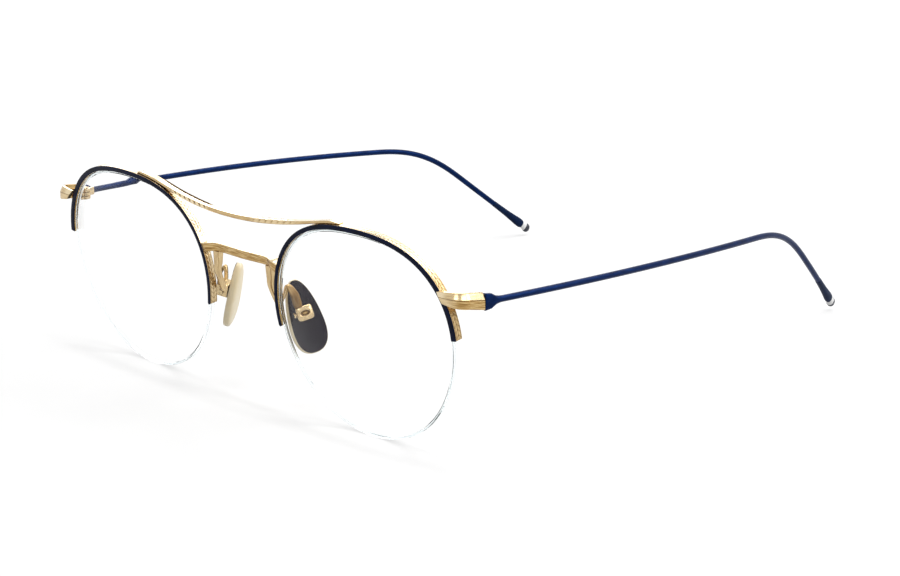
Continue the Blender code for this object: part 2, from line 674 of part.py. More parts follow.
def build_hinge(label, side, looks, group, cutters, seat, pivot):
    """Front leaf with two knuckles, temple leaf with one, and the screw, all about the hinge's axis."""
    middle = HINGE_MIDDLE_KNUCKLE / 2
    low = middle + SEAT_GAP
    height = low + HINGE_OUTER_KNUCKLE
    leaf_x = (HINGE_RADIUS - HINGE_LEAF / 2) * side
    upright = (0, 0, 0)
    front = box(label + "_hinge_front", (HINGE_LEAF, HINGE_LEAF_LENGTH, 2 * height),
                (leaf_x, -HINGE_RADIUS - SEAT_GAP - HINGE_LEAF_LENGTH / 2, 0), upright, group)
    front.data.materials.append(looks["gold"])
    front.parent = seat
    bore = cylinder(label + "_hinge_bore", HINGE_SCREW_RADIUS + SEAT_GAP, 4 * height, upright, upright, cutters)
    bore.parent = seat
    for place, sign in (("top", 1), ("bottom", -1)):
        centre = sign * (low + HINGE_OUTER_KNUCKLE / 2)
        ring = cylinder(f"{label}_hinge_{place}_ring", HINGE_RADIUS, HINGE_OUTER_KNUCKLE, (0, 0, centre), upright,
                        cutters, 20)
        web = box(f"{label}_hinge_{place}_web", (HINGE_LEAF, HINGE_RADIUS * 2, HINGE_OUTER_KNUCKLE),
                  (leaf_x, -HINGE_RADIUS, centre), upright, cutters)
        for guide in (ring, web):
            guide.parent = seat
            combine(front, guide, "UNION")
    combine(front, bore, "DIFFERENCE")
    leaf_start = HINGE_RADIUS + SEAT_GAP
    temple = box(label + "_hinge_temple", (HINGE_LEAF, HINGE_TEMPLE_LEAF_LENGTH, 2 * low + HINGE_OUTER_KNUCKLE),
                 (leaf_x, leaf_start + HINGE_TEMPLE_LEAF_LENGTH / 2, 0), upright, group)
    temple.data.materials.append(looks["gold"])
    temple.parent = pivot
    ring = cylinder(label + "_hinge_middle_ring", HINGE_RADIUS, HINGE_MIDDLE_KNUCKLE, upright, upright, cutters, 20)
    web = box(label + "_hinge_middle_web", (HINGE_LEAF, HINGE_RADIUS * 2, HINGE_MIDDLE_KNUCKLE),
              (leaf_x, HINGE_RADIUS, 0), upright, cutters)
    inner_bore = cylinder(label + "_hinge_inner_bore", HINGE_SCREW_RADIUS + SEAT_GAP, 4 * height, upright, upright,
                          cutters)
    for guide in (ring, web, inner_bore):
        guide.parent = pivot
    combine(temple, ring, "UNION")
    combine(temple, web, "UNION")
    combine(temple, inner_bore, "DIFFERENCE")
    sink = cylinder(label + "_hinge_sink", HINGE_SCREW_HEAD_RADIUS + SEAT_GAP, 2 * HINGE_SCREW_SINK, (0, 0, height),
                    upright, cutters)
    sink.parent = seat
    combine(front, sink, "DIFFERENCE")
    head = height - HINGE_SCREW_SINK + SEAT_GAP
    profile = [
        (0.0, head + HINGE_SCREW_HEAD), (HINGE_SCREW_HEAD_RADIUS * 0.75, head + HINGE_SCREW_HEAD),
        (HINGE_SCREW_HEAD_RADIUS, head + HINGE_SCREW_HEAD / 2), (HINGE_SCREW_HEAD_RADIUS, head),
        (HINGE_SCREW_RADIUS, head), (HINGE_SCREW_RADIUS, -height), (0.0, -height),
    ]
    screw = turned(label + "_hinge_screw", profile, looks["gold"], group, seat)
    slot = box(label + "_hinge_slot", (HINGE_SCREW_HEAD_RADIUS * 3, SCREW_SLOT_WIDTH, HINGE_SCREW_HEAD),
               (0, 0, head + HINGE_SCREW_HEAD), upright, cutters)
    slot.parent = seat
    combine(screw, slot, "DIFFERENCE")


def temple_path():
    """Walks along the temple. Its slope steepens round the ear bend, and it toes in all the way."""
    points = [from_temporal_side(ENDPIECE_END) + TEMPLE_ORIGIN]
    count = round(TEMPLE_LENGTH / TEMPLE_WALK_STEP)
    length = TEMPLE_LENGTH / count
    bend_start = TEMPLE_LENGTH - TEMPLE_BEND_START
    bend_length = TEMPLE_BEND_START - TEMPLE_BEND_END
    for step in range(count):
        distance = (step + 0.5) * length
        straight = min(distance / bend_start, 1.0)
        t = min(max((distance - bend_start) / bend_length, 0.0), 1.0)
        bend = t * t * (3 - 2 * t)
        slope = TEMPLE_SLOPES[0] + (TEMPLE_SLOPES[1] - TEMPLE_SLOPES[0]) * straight
        slope += (TEMPLE_SLOPES[2] - slope) * bend
        rear = max(distance - bend_start, 0.0) / TEMPLE_BEND_START
        toe = TEMPLE_TOES[0] + (TEMPLE_TOES[1] - TEMPLE_TOES[0]) * straight + (TEMPLE_TOES[2] - TEMPLE_TOES[1]) * rear
        level = math.cos(slope) * length
        ahead = Vector((math.sin(toe) * level, math.cos(toe) * level, -math.sin(slope) * length))
        points.append(points[-1] + ahead)
    return points


def temple_stretch(walk, distances):
    """Points of the temple's walk at the given distances."""
    length = TEMPLE_LENGTH / (len(walk) - 1)
    points = []
    for distance in distances:
        place = min(distance / length, len(walk) - 1.0)
        index = min(int(place), len(walk) - 2)
        points.append(walk[index].lerp(walk[index + 1], place - index))
    return points


def build_temple(label, side, looks, group, pivot):
    """Wire drawn from its end block, with a thin core at the rear that the tip slides on."""
    walk = temple_path()
    tip_start = TEMPLE_LENGTH - TIP_LENGTH
    distances = spread(TEMPLE_BLOCK_START, TEMPLE_BLOCK_END, 3) + spread(TEMPLE_BLOCK_END, TEMPLE_TAPER_END, 4)[1:]
    bend_start = TEMPLE_LENGTH - TEMPLE_BEND_START
    bend_end = TEMPLE_LENGTH - TEMPLE_BEND_END
    distances += spread(TEMPLE_TAPER_END, bend_start, 10)[1:]
    distances += spread(bend_start, bend_end, 11)[1:]
    distances += spread(bend_end, tip_start - SEAT_GAP, 4)[1:]
    radius = TEMPLE_RADIUS
    stops = [
        (TEMPLE_BLOCK_START, ENDPIECE_HALF_THICKNESS, TEMPLE_BLOCK_HALF_HEIGHT, 5.0, 0.0),
        (TEMPLE_BLOCK_END, ENDPIECE_HALF_THICKNESS, TEMPLE_BLOCK_HALF_HEIGHT * 0.8, 4.0, 0.0),
        (TEMPLE_TAPER_END, radius, radius, 2.0, 0.0), (TEMPLE_LENGTH, radius, radius, 2.0, 0.0),
    ]
    across = Vector((1, 0, 0))
    rings = sweep_rings(temple_stretch(walk, distances), blend_sizes(distances, stops), across, 10)
    core_distances = spread(distances[-1], tip_start + TIP_CORE_LENGTH, 4)
    core_size = (TIP_CORE_RADIUS, TIP_CORE_RADIUS, 2.0, 0.0)
    core = sweep_rings(temple_stretch(walk, core_distances), [core_size] * 4, across, 10)
    hinge = hinge_axis()
    loft(label + "_temple", rings + core, side, looks["navy"], group, pivot, hinge)

    cap_start = TEMPLE_LENGTH - TIP_CAP
    band_start = cap_start - TIP_BAND
    flare_start = band_start - TIP_FLARE_LENGTH
    full = (TIP_HALF_THICKNESS, TIP_HALF_WIDTH, 2.2, 0.0)
    tip_stops = [
        (tip_start, radius, radius, 2.0, 0.0), (flare_start, radius, radius * 1.05, 2.0, 0.0),
        (band_start - SEAT_GAP, *full), (cap_start, *full),
    ]
    outside = spread(tip_start, flare_start, 4) + spread(flare_start, band_start - SEAT_GAP, 5)[1:]
    outer = sweep_rings(temple_stretch(walk, outside), blend_sizes(outside, tip_stops), across, 10)
    bore_size = (TIP_CORE_RADIUS + SEAT_GAP, TIP_CORE_RADIUS + SEAT_GAP, 2.0, 0.0)
    bore_distances = spread(tip_start + TIP_CORE_LENGTH + 2 * SEAT_GAP, tip_start, 4)
    bore = sweep_rings(temple_stretch(walk, bore_distances), [bore_size] * 4, across, 10)
    bore = [ring[::-1][5:] + ring[::-1][:5] for ring in bore]
    loft(label + "_temple_tip", bore + outer, side, looks["tip"], group, pivot, hinge)

    band_distances = spread(band_start, cap_start - SEAT_GAP, 2)
    band = sweep_rings(temple_stretch(walk, band_distances), [full] * 2, across, 12)
    loft(label + "_tip_band", band, side, looks["band"], group, pivot, hinge)
    cap_distances = [cap_start, TEMPLE_LENGTH - TIP_CAP * 0.45, TEMPLE_LENGTH - TIP_CAP * 0.12]
    cap_sizes = [tuple(value * share for value in full[:2]) + full[2:] for share in (1.0, 0.9, 0.55)]
    cap = sweep_rings(temple_stretch(walk, cap_distances), cap_sizes, across, 12)
    loft(label + "_tip_cap", cap + [[walk[-1]]], side, looks["cap"], group, pivot, hinge)


def stand_on_floor(group):
    """Moves the glasses so that their box stands on the origin, centred over it."""
    bpy.context.view_layer.update()
    graph = bpy.context.evaluated_depsgraph_get()
    corners = []
    for item in group.all_objects:
        if item.type != "EMPTY":
            shape = item.evaluated_get(graph)
            mesh = shape.to_mesh()
            corners += [shape.matrix_world @ vertex.co for vertex in mesh.vertices]
            shape.to_mesh_clear()
    middle = (min(p.y for p in corners) + max(p.y for p in corners)) / 2
    shift = Vector((0, -middle, -min(p.z for p in corners)))
    for item in bpy.data.objects:
        if item.parent is None:
            item.location += shift
    bpy.context.view_layer.update()
    print("moved by", [round(value / MM, 4) for value in shift])


def build():
    clear_scene()
    group = new_collection(COLLECTION)
    cutters = new_collection("cutters")
    looks = {
        "gold": new_material("gold", (0.83, 0.62, 0.28), 0.22, 1.0),
        "enamel": new_material("enamel", (0.010, 0.022, 0.090), 0.15),
        "navy": new_material("navy", (0.012, 0.040, 0.200), 0.30),
        "tip": new_material("tip", (0.020, 0.050, 0.140), 0.35),
        "band": new_material("band", (0.85, 0.85, 0.84), 0.35),
        "cap": new_material("cap", (0.020, 0.024, 0.040), 0.35),
        "lens": new_material("lens", (0.98, 0.99, 1.0), 0.02, 0.0, 1.0),
        "nylon": new_material("nylon", (0.85, 0.87, 0.88), 0.30, 0.0, 0.7),
        "ivory": new_material("ivory", (0.87, 0.80, 0.62), 0.40),
        "slate": new_material("slate", (0.060, 0.055, 0.080), 0.45),
    }
    build_brow_bar(looks, group)
    build_bridge(looks, group)
    for label, side in SIDES.items():
        build_rim(label, side, looks, group)
        build_lens(label, side, looks, group)
        build_lens_cord(label, side, looks, group)
        build_pad_arm(label, side, looks, group)
        pad_place = mirrored(from_bridge_end(PAD_PIVOT), side)
        pad_seat = empty(label + "_pad_seat", pad_place, pad_turn(side), group)
        pad_pivot = empty(label + "_pad_pivot", pad_place, pad_turn(side), group)
        build_pad_box(label, side, looks, group, cutters, pad_seat)
        build_pad(label, side, looks, group, cutters, pad_pivot)
        build_endpiece(label, side, looks, group)
        hinge_place = mirrored(hinge_axis(), side)
        hinge_seat = empty(label + "_hinge_seat", hinge_place, (0, 0, 0), group)
        hinge_pivot = empty(label + "_hinge_pivot", hinge_place, (0, 0, 0), group)
        build_hinge(label, side, looks, group, cutters, hinge_seat, hinge_pivot)
        build_temple(label, side, looks, group, hinge_pivot)
    stand_on_floor(group)


build()
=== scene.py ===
"""Looks of the half-rim eyeglasses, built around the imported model.

Lengths are metres in the model's frame: +Z is up, +X is the wearer's left and +Y points to the ears.
The left half is described, and the right half is its mirror.
"""
import math

import bpy
import numpy as np
from mathutils import Euler, Matrix, Vector


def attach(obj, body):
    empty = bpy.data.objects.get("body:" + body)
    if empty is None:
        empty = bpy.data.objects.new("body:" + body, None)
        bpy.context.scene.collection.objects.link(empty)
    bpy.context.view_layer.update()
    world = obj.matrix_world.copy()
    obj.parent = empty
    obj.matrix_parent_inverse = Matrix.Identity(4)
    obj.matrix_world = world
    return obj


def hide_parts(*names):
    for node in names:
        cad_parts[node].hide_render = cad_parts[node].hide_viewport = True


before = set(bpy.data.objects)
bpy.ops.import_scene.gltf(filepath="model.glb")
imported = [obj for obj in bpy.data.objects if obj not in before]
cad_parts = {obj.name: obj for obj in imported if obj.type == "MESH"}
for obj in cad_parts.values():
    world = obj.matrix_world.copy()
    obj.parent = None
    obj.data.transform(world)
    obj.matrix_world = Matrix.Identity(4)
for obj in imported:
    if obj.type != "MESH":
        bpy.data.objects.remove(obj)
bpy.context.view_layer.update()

MM = 0.001
SIDES = {"left": 1, "right": -1}

# The front as the model has it
FRONT_SHIFT = -72.235 * MM
LENS_WIDTH = 47.7 * MM
LENS_HEIGHT = 44.5 * MM
LENS_SQUARE = 0.27 * MM
LENS_DROP = 0.64 * MM
LENS_CURVE_RADIUS = 86.0 * MM
LENS_THICKNESS = 2.0 * MM
LENS_SPACING = 23.3 * MM
LENS_STEPS = 48
FRONT_TILT = math.radians(7.2)
FRONT_WRAP = math.radians(2.5)
SEAT_GAP = 0.2 * MM
RIM_HEIGHT = 1.0 * MM
RIM_SIDE_GROWTH = 0.25 * MM
RIM_DEPTH = 2.0 * MM
RIM_SETBACK = 0.15 * MM
RIM_TEMPORAL_ANGLE = math.radians(8.0)
RIM_NASAL_ANGLE = math.radians(188.0)
RIM_NASAL_SLIMMING = 0.2 * MM


def outline_radius(angle):
    """Distance from the lens's centre to its edge: an oval with fuller diagonals and a fuller foot."""
    mean = (LENS_WIDTH + LENS_HEIGHT) / 4 + LENS_SQUARE
    oval = (LENS_WIDTH - LENS_HEIGHT) / 4
    drop = LENS_DROP * np.sin(3 * angle)
    return mean + oval * np.cos(2 * angle) + drop - LENS_SQUARE * np.cos(4 * angle)


FRONT_TURN = np.array(Matrix.Rotation(FRONT_TILT, 3, "X") @ Matrix.Rotation(FRONT_WRAP, 3, "Z"))


def lens_point(angle, out, back, share):
    """A point round a lens at the origin, at a share of its radius, tilted and wrapped as the front is."""
    radius = outline_radius(angle) * share
    sag = LENS_CURVE_RADIUS - np.sqrt(LENS_CURVE_RADIUS ** 2 - radius ** 2)
    reach = radius + out
    return np.stack([reach * np.cos(angle), sag + back, reach * np.sin(angle)], -1) @ FRONT_TURN.T


LENS_TURNS = [2 * math.pi * step / LENS_STEPS for step in range(LENS_STEPS)]
LENS_LOWEST = min(lens_point(turn, 0.0, 0.0, 1.0)[2] for turn in LENS_TURNS)
FRONT_PLACE = np.array([(LENS_SPACING + LENS_WIDTH) / 2, FRONT_SHIFT, -LENS_LOWEST])


def on_front(angle, out=0.0, back=0.0, share=1.0):
    """Points at angles round the left lens, out from its edge and back from its front surface."""
    angle, out, back, share = np.broadcast_arrays(angle, out, back, share)
    return lens_point(angle, out, back, share) + FRONT_PLACE


def rim_outer(angle):
    """The rim's outer side as the model has it, out from the lens's edge."""
    return SEAT_GAP + RIM_HEIGHT + RIM_SIDE_GROWTH * np.cos(angle) ** 2


def rim_edge(angle):
    """The rim's outer side as it shows, slimmer towards the nose than at the temple."""
    across = np.cos(angle)
    return SEAT_GAP + RIM_HEIGHT + np.where(across > 0, RIM_SIDE_GROWTH, -RIM_NASAL_SLIMMING) * across ** 2


def from_bridge_end(offset):
    """A place at an offset in mm from where the bridge meets the left rim."""
    root = on_front(BRIDGE_ANGLE, rim_outer(BRIDGE_ANGLE) + SEAT_GAP, RIM_SETBACK + RIM_DEPTH / 2)
    return root + np.array(offset) * MM


# Meshes

def skin(name, rings, side, start=None, end=None, fields=None, sharp=32.0):
    """Closed mesh through rings of points, with flat ends or ends that close on a point."""
    rings = np.array(rings, float)
    rows, columns = rings.shape[:2]
    verts = rings.reshape(-1, 3)
    row = np.arange(rows - 1)[:, None]
    column = np.arange(columns)[None, :]
    after = (column + 1) % columns
    quads = np.stack([row * columns + column, row * columns + after,
                      (row + 1) * columns + after, (row + 1) * columns + column], -1).reshape(-1, 4)
    along = np.r_[0.0, np.cumsum(np.linalg.norm(np.diff(rings.mean(1), axis=0), axis=1))] / MM
    widest = rings[np.argmax(np.linalg.norm(np.diff(rings, axis=1), axis=2).sum(1))]
    around = np.r_[0.0, np.cumsum(np.linalg.norm(np.diff(widest, axis=0, append=widest[:1]), axis=1))] / MM
    low_u, low_v = np.broadcast_arrays(along[:-1, None], around[None, :-1])
    high_u, high_v = np.broadcast_arrays(along[1:, None], around[None, 1:])
    uvs = np.stack([low_u, low_v, low_u, high_v, high_u, high_v, high_u, low_v], -1).reshape(-1, 2).tolist()
    faces = quads.tolist()
    extra = []
    for place, first, length in ((start, 0, 0.0), (end, (rows - 1) * columns, along[-1])):
        ring = list(range(first, first + columns))
        if place is None:
            faces.append(ring[::-1] if first == 0 else ring)
            uvs += [(length, 0.0)] * columns
        else:
            tip = len(verts) + len(extra)
            extra.append(place)
            for j in range(columns):
                pair = [ring[j], ring[(j + 1) % columns]]
                faces.append([pair[1], pair[0], tip] if first == 0 else [pair[0], pair[1], tip])
                uvs += [(length, around[j])] * 3
    if extra:
        verts = np.vstack([verts, np.array(extra, float)])
    verts = verts * np.array([side, 1.0, 1.0])
    mesh = bpy.data.meshes.new(name)
    mesh.from_pydata(verts.tolist(), [], faces)
    layer = mesh.uv_layers.new(name="metric")
    layer.data.foreach_set("uv", np.array(uvs, np.float32).ravel())
    for key, values in (fields or {}).items():
        flat = np.zeros(len(verts), np.float32)
        flat[:rows * columns] = np.asarray(values, np.float32).ravel()
        mesh.attributes.new(key, "FLOAT", "POINT").data.foreach_set("value", flat)
    a, b, c = (verts[quads[:, k]] for k in range(3))
    centre = verts.mean(0)
    if np.einsum("ij,ij->i", a - centre, np.cross(b - centre, c - centre)).sum() < 0:
        mesh.flip_normals()
    mesh.shade_smooth()
    mesh.set_sharp_from_angle(angle=math.radians(sharp))
    item = bpy.data.objects.new(name, mesh)
    bpy.context.scene.collection.objects.link(item)
    return item


def dress(item, look, slot, body, *nodes):
    """Gives a piece its look and its body, and lets it stand for the model's nodes. The slot argument is not
    used.
    """
    item.data.materials.append(LOOKS[look])
    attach(item, body)
    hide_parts(*nodes)


def smooth_path(points, count):
    """Catmull-Rom curve through the points, with the given count of steps between each two."""
    points = np.array(points, float)
    ends = np.vstack([points[0] * 2 - points[1], points, points[-1] * 2 - points[-2]])
    path = []
    for before, start, end, after in zip(ends, ends[1:], ends[2:], ends[3:]):
        for t in np.arange(count) / count:
            square = (before * 2 - start * 5 + end * 4 - after) * t ** 2
            cube = (start * 3 - before - end * 3 + after) * t ** 3
            path.append(0.5 * (start * 2 + (end - before) * t + square + cube))
    return np.array([*path, points[-1]])


def bezier(start, start_handle, end_handle, end, count):
    t = np.linspace(0.0, 1.0, count)[:, None]
    s = 1 - t
    return start * s ** 3 + start_handle * 3 * s * s * t + end_handle * 3 * s * t * t + end * t ** 3


def lengths(path):
    """Distance along the path to each of its points."""
    return np.r_[0.0, np.cumsum(np.linalg.norm(np.diff(path, axis=0), axis=1))]


def at_distances(path, wanted):
    """Places at the wanted distances along the path."""
    distances = lengths(path)
    return np.stack([np.interp(wanted, distances, path[:, k]) for k in range(3)], -1)


def resample(path, count):
    """The path with even steps."""
    return at_distances(path, np.linspace(0.0, lengths(path)[-1], count))


def unit(vectors):
    return vectors / np.linalg.norm(vectors, axis=-1, keepdims=True)


def sweep(path, reference, sections, slant=0.0):
    """Rings across a path. A section's first number runs along the reference, and its second across it."""
    ends = np.vstack([path[0] * 2 - path[1], path, path[-1] * 2 - path[-2]])
    ahead = unit(ends[2:] - ends[:-2])
    reference = np.broadcast_to(np.array(reference, float), path.shape)
    first = unit(reference - ahead * np.sum(reference * ahead, -1, keepdims=True))
    second = np.cross(ahead, first)
    a = sections[..., :1]
    b = sections[..., 1:2]
    lean = np.broadcast_to(np.array(slant, float), (len(path),))[:, None, None]
    return path[:, None] + first[:, None] * a + second[:, None] * b + ahead[:, None] * (lean * a)


def oval(wide, deep, power, count):
    """Sections from half widths, as ovals that turn square with the power. Each value may be one per ring."""
    wide, deep, power = np.broadcast_arrays(*np.atleast_1d(wide, deep, power))
    angle = 2 * np.pi * (np.arange(count) + 0.5) / count
    cos, sin = np.cos(angle)[None], np.sin(angle)[None]
    share = 2 / power[:, None]
    return np.stack([np.sign(cos) * np.abs(cos) ** share * wide[:, None],
                     np.sign(sin) * np.abs(sin) ** share * deep[:, None]], -1)


# Longest reach of a rounded corner along a side, as a share of the side
CORNER_REACH = 0.45


def rounded(corners, radius, arc, fill):
    """Outline through the corners in mm, each rounded, with points along the straight runs."""
    corners = np.array(corners, float)
    before = np.roll(corners, 1, axis=0)
    after = np.roll(corners, -1, axis=0)
    points = []
    for p, low, high in zip(corners, before, after):
        reach_in = min(radius, np.linalg.norm(p - low) * CORNER_REACH)
        reach_out = min(radius, np.linalg.norm(high - p) * CORNER_REACH)
        first = p + (low - p) / np.linalg.norm(low - p) * reach_in
        last = p + (high - p) / np.linalg.norm(high - p) * reach_out
        for t in np.linspace(0.0, 1.0, arc + 1):
            points.append(first * (1 - t) ** 2 + p * 2 * t * (1 - t) + last * t * t)
        following = high + (p - high) / np.linalg.norm(p - high) * reach_out
        for t in np.arange(1, fill + 1) / (fill + 1):
            points.append(last * (1 - t) + following * t)
    return np.array(points) * MM


def blend_sections(distances, stops):
    """Sections at distances along a path, straight between stops of (distance, section)."""
    places = np.array([place for place, section in stops])
    outlines = np.array([section for place, section in stops])
    flat = outlines.reshape(len(stops), -1)
    values = np.stack([np.interp(distances, places, flat[:, k]) for k in range(flat.shape[1])], -1)
    return values.reshape(len(distances), *outlines.shape[1:])


# Engraving of the rims, in mm along and from -1 to 1 across
ENGRAVING_PITCH = 1.05
ENGRAVING_BEAD = 0.42
LEAF_LEAN = 0.9
LEAF_REACH = 0.78
LEAF_VEIN = 0.14
BEAD_PLACE = 0.9
BEAD_HALF_WIDTH = 0.12


def leaves(along, across):
    """Height of the engraving, 0 to 1: two rows of slanted leaves between two rows of beads."""
    aside = np.abs(across)
    leaf = np.abs(np.sin(np.pi * (along / ENGRAVING_PITCH + LEAF_LEAN * aside))) ** 0.6
    vein = np.clip(aside / LEAF_VEIN, 0.0, 1.0) ** 0.7
    field = leaf * vein * (1 - np.clip(aside / LEAF_REACH, 0.0, 1.0) ** 6 * 0.9)
    bead_row = (1 - ((aside - BEAD_PLACE) / BEAD_HALF_WIDTH) ** 2).clip(0.0, 1.0)
    beads = np.abs(np.sin(np.pi * along / ENGRAVING_BEAD)) ** 0.5 * bead_row
    return np.where(aside < LEAF_REACH, field, beads)


# Materials

def node(tree, kind, inputs=None, **settings):
    item = tree.nodes.new("ShaderNode" + kind)
    for key, value in settings.items():
        setattr(item, key, value)
    for key, value in (inputs or {}).items():
        if isinstance(value, bpy.types.NodeSocket):
            tree.links.new(value, item.inputs[key])
        else:
            item.inputs[key].default_value = value
    return item


def new_material(name, roughness, metallic, **values):
    material = bpy.data.materials.new(name)
    material.use_nodes = True
    shader = material.node_tree.nodes["Principled BSDF"]
    shader.inputs["Roughness"].default_value = roughness
    shader.inputs["Metallic"].default_value = metallic
    for key, value in values.items():
        shader.inputs[key.replace("_", " ")].default_value = value
    return material, material.node_tree, shader


def ramp(tree, factor, stops):
    item = node(tree, "ValToRGB", {"Fac": factor})
    elements = item.color_ramp.elements
    while len(elements) < len(stops):
        elements.new(0.5)
    for element, (place, colour) in zip(elements, stops):
        element.position = place
        element.color = (*colour, 1.0)
    return item.outputs["Color"]


def grey(*stops):
    return [(place, (value, value, value)) for place, value in stops]


def noise(tree, along, across, detail=3.0, roughness=0.55, swept=True):
    """Noise with its scale per mm along and across a piece. A piece that isn't swept uses its place."""
    if swept:
        source = node(tree, "UVMap", uv_map="metric").outputs["UV"]
        scale = (along, across, 1.0)
    else:
        source = node(tree, "TexCoord").outputs["Object"]
        scale = (across / MM, along / MM, across / MM)
    vector = node(tree, "Mapping", {"Vector": source, "Scale": scale}).outputs["Vector"]
    values = {"Vector": vector, "Scale": 1.0, "Detail": detail, "Roughness": roughness}
    return node(tree, "TexNoise", values).outputs["Fac"]


def mix_colour(tree, factor, low, high):
    item = node(tree, "Mix", data_type="RGBA")
    for socket, value in ((item.inputs[0], factor), (item.inputs[6], low), (item.inputs[7], high)):
        if isinstance(value, bpy.types.NodeSocket):
            tree.links.new(value, socket)
        elif isinstance(value, tuple):
            socket.default_value = (*value, 1.0)
        else:
            socket.default_value = value
    return item.outputs[2]


def maths(tree, operation, first, second=0.0, clamp=False):
    return node(tree, "Math", {0: first, 1: second}, operation=operation, use_clamp=clamp).outputs[0]


# Depth of the surface grain in the materials
GRAIN_DEPTH = 0.02 * MM


def add_surface(tree, shader, colour, roughness, strength, height):
    """Gives a material its colour, its roughness and a fine grain."""
    bump = node(tree, "Bump", {"Strength": strength, "Distance": GRAIN_DEPTH, "Height": height})
    for key, value in (("Base Color", colour), ("Roughness", roughness), ("Normal", bump.outputs["Normal"])):
        tree.links.new(value, shader.inputs[key])


# Tones of the gold's grain, of the painted highlight on its polished faces and of the patina in its
# engraving, which also serves as painted shade
GOLD = (0.42, 0.265, 0.095)
GOLD_DARK = (0.16, 0.078, 0.018)
GOLD_PALE = (0.80, 0.62, 0.33)
GOLD_PAINTED_HIGHLIGHT = (0.80, 0.67, 0.45)
PATINA_AND_SHADE = (0.10, 0.048, 0.012)
BRIGHT_ROUGHNESS = 0.13


def gold_material(name, swept=True, brushed=1.0, engraved=False, rough=0.2, pale=0.0):
    """Brushed gold. Where engraved, one attribute darkens it with patina in its real hollows and with painted
    shade elsewhere, and another makes its polished faces smoother and lightens them as a painted highlight.
    Pale lightens all of it towards the highlight tone.
    """
    material, tree, shader = new_material(name, rough, 1.0)
    streaks = noise(tree, 0.3, 3.2, 4.0, 0.6, swept)
    fine = noise(tree, 1.2, 22.0, 3.0, 0.6, swept)
    clouds = noise(tree, 0.5, 0.5, 2.0, swept=swept)
    colour = ramp(tree, streaks, [(0.30, GOLD_DARK), (0.48, GOLD), (0.70, GOLD_PALE)])
    colour = mix_colour(tree, 0.65 * brushed + 0.15, GOLD, colour)
    colour = mix_colour(tree, pale, colour, GOLD_PAINTED_HIGHLIGHT)
    rough_range = ramp(tree, clouds, grey((0.35, rough * 0.75), (0.65, rough * 1.35)))
    if engraved:
        depth = node(tree, "Attribute", attribute_name="hollow_and_shade").outputs["Fac"]
        polish_and_highlight_share = node(tree, "Attribute", attribute_name="polish_and_painted_highlight").outputs["Fac"]
        # Painted highlight: lightens the gold towards the highlight tone and smooths it; patina and painted
        # shade darken it, less where it is highlighted
        colour = mix_colour(tree, polish_and_highlight_share, colour, GOLD_PAINTED_HIGHLIGHT)
        dark = maths(tree, "MULTIPLY", ramp(tree, depth, grey((0.35, 0.0), (0.85, 0.92))),
                     maths(tree, "SUBTRACT", 1.0, maths(tree, "MULTIPLY", polish_and_highlight_share, 0.5)))
        colour = mix_colour(tree, dark, colour, PATINA_AND_SHADE)
        rough_range = mix_colour(tree, depth, rough_range, (0.5, 0.5, 0.5))
        rough_range = mix_colour(tree, polish_and_highlight_share, rough_range, (BRIGHT_ROUGHNESS,) * 3)
    height = maths(tree, "ADD", maths(tree, "MULTIPLY", streaks, 0.7), maths(tree, "MULTIPLY", fine, 0.5))
    add_surface(tree, shader, colour, rough_range, 0.35 * brushed, height)
    return material


def lacquer_material(name, colour, lit, rough, mottle, gloss, metal=0.0):
    """Coloured lacquer with faint mottling and small specks of its lighter tone as painted glints."""
    material, tree, shader = new_material(name, rough, metal, Specular_IOR_Level=gloss)
    clouds = noise(tree, 0.35, 1.4)
    specks = noise(tree, 5.0, 5.0, 2.0, 0.7)
    base = mix_colour(tree, ramp(tree, clouds, grey((0.35, 0.0), (0.7, mottle))), colour, lit)
    painted_glint = ramp(tree, specks, grey((0.62, 0.0), (0.74, 0.45)))
    rough_range = ramp(tree, specks, grey((0.3, rough * 0.8), (0.7, rough * 1.4)))
    add_surface(tree, shader, mix_colour(tree, painted_glint, base, lit), rough_range, 0.12, specks)
    return material


def moulded_material(name, low, high, rough, **values):
    """Moulded plastic with a faint satin grain."""
    material, tree, shader = new_material(name, rough, 0.0, **values)
    clouds = noise(tree, 0.3, 0.3)
    texture = noise(tree, 6.0, 6.0, roughness=0.6)
    colour = mix_colour(tree, ramp(tree, clouds, grey((0.3, 0.0), (0.7, 1.0))), low, high)
    rough_range = ramp(tree, texture, grey((0.3, rough * 0.85), (0.7, rough * 1.2)))
    add_surface(tree, shader, colour, rough_range, 0.2, texture)
    return material


EDGE_SHADE = 0.55


def clear_material(name, tint, ior, rough, shade, edge=None):
    """Clear glass or nylon that lets light through to other surfaces, so that its shadow stays faint.

    The indices used are below those of real glass and nylon, for the weak reflections of coated lenses.
    """
    material, tree, shader = new_material(name, rough, 0.0, Transmission_Weight=1.0, IOR=ior)
    shader.inputs["Base Color"].default_value = (*tint, 1.0)
    passed = (shade, shade, shade)
    if edge:
        share = node(tree, "Attribute", attribute_name="edge").outputs["Fac"]
        tree.links.new(mix_colour(tree, share, tint, edge), shader.inputs["Base Color"])
        passed = mix_colour(tree, share, passed, (EDGE_SHADE,) * 3)
    output = tree.nodes["Material Output"]
    path = node(tree, "LightPath")
    passing = node(tree, "BsdfTransparent", {"Color": passed if edge else (*passed, 1.0)})
    lighting = maths(tree, "ADD", path.outputs["Is Shadow Ray"], path.outputs["Is Diffuse Ray"], clamp=True)
    mixed = node(tree, "MixShader", {0: lighting, 1: shader.outputs["BSDF"], 2: passing.outputs["BSDF"]})
    tree.links.new(mixed.outputs["Shader"], output.inputs["Surface"])
    return material


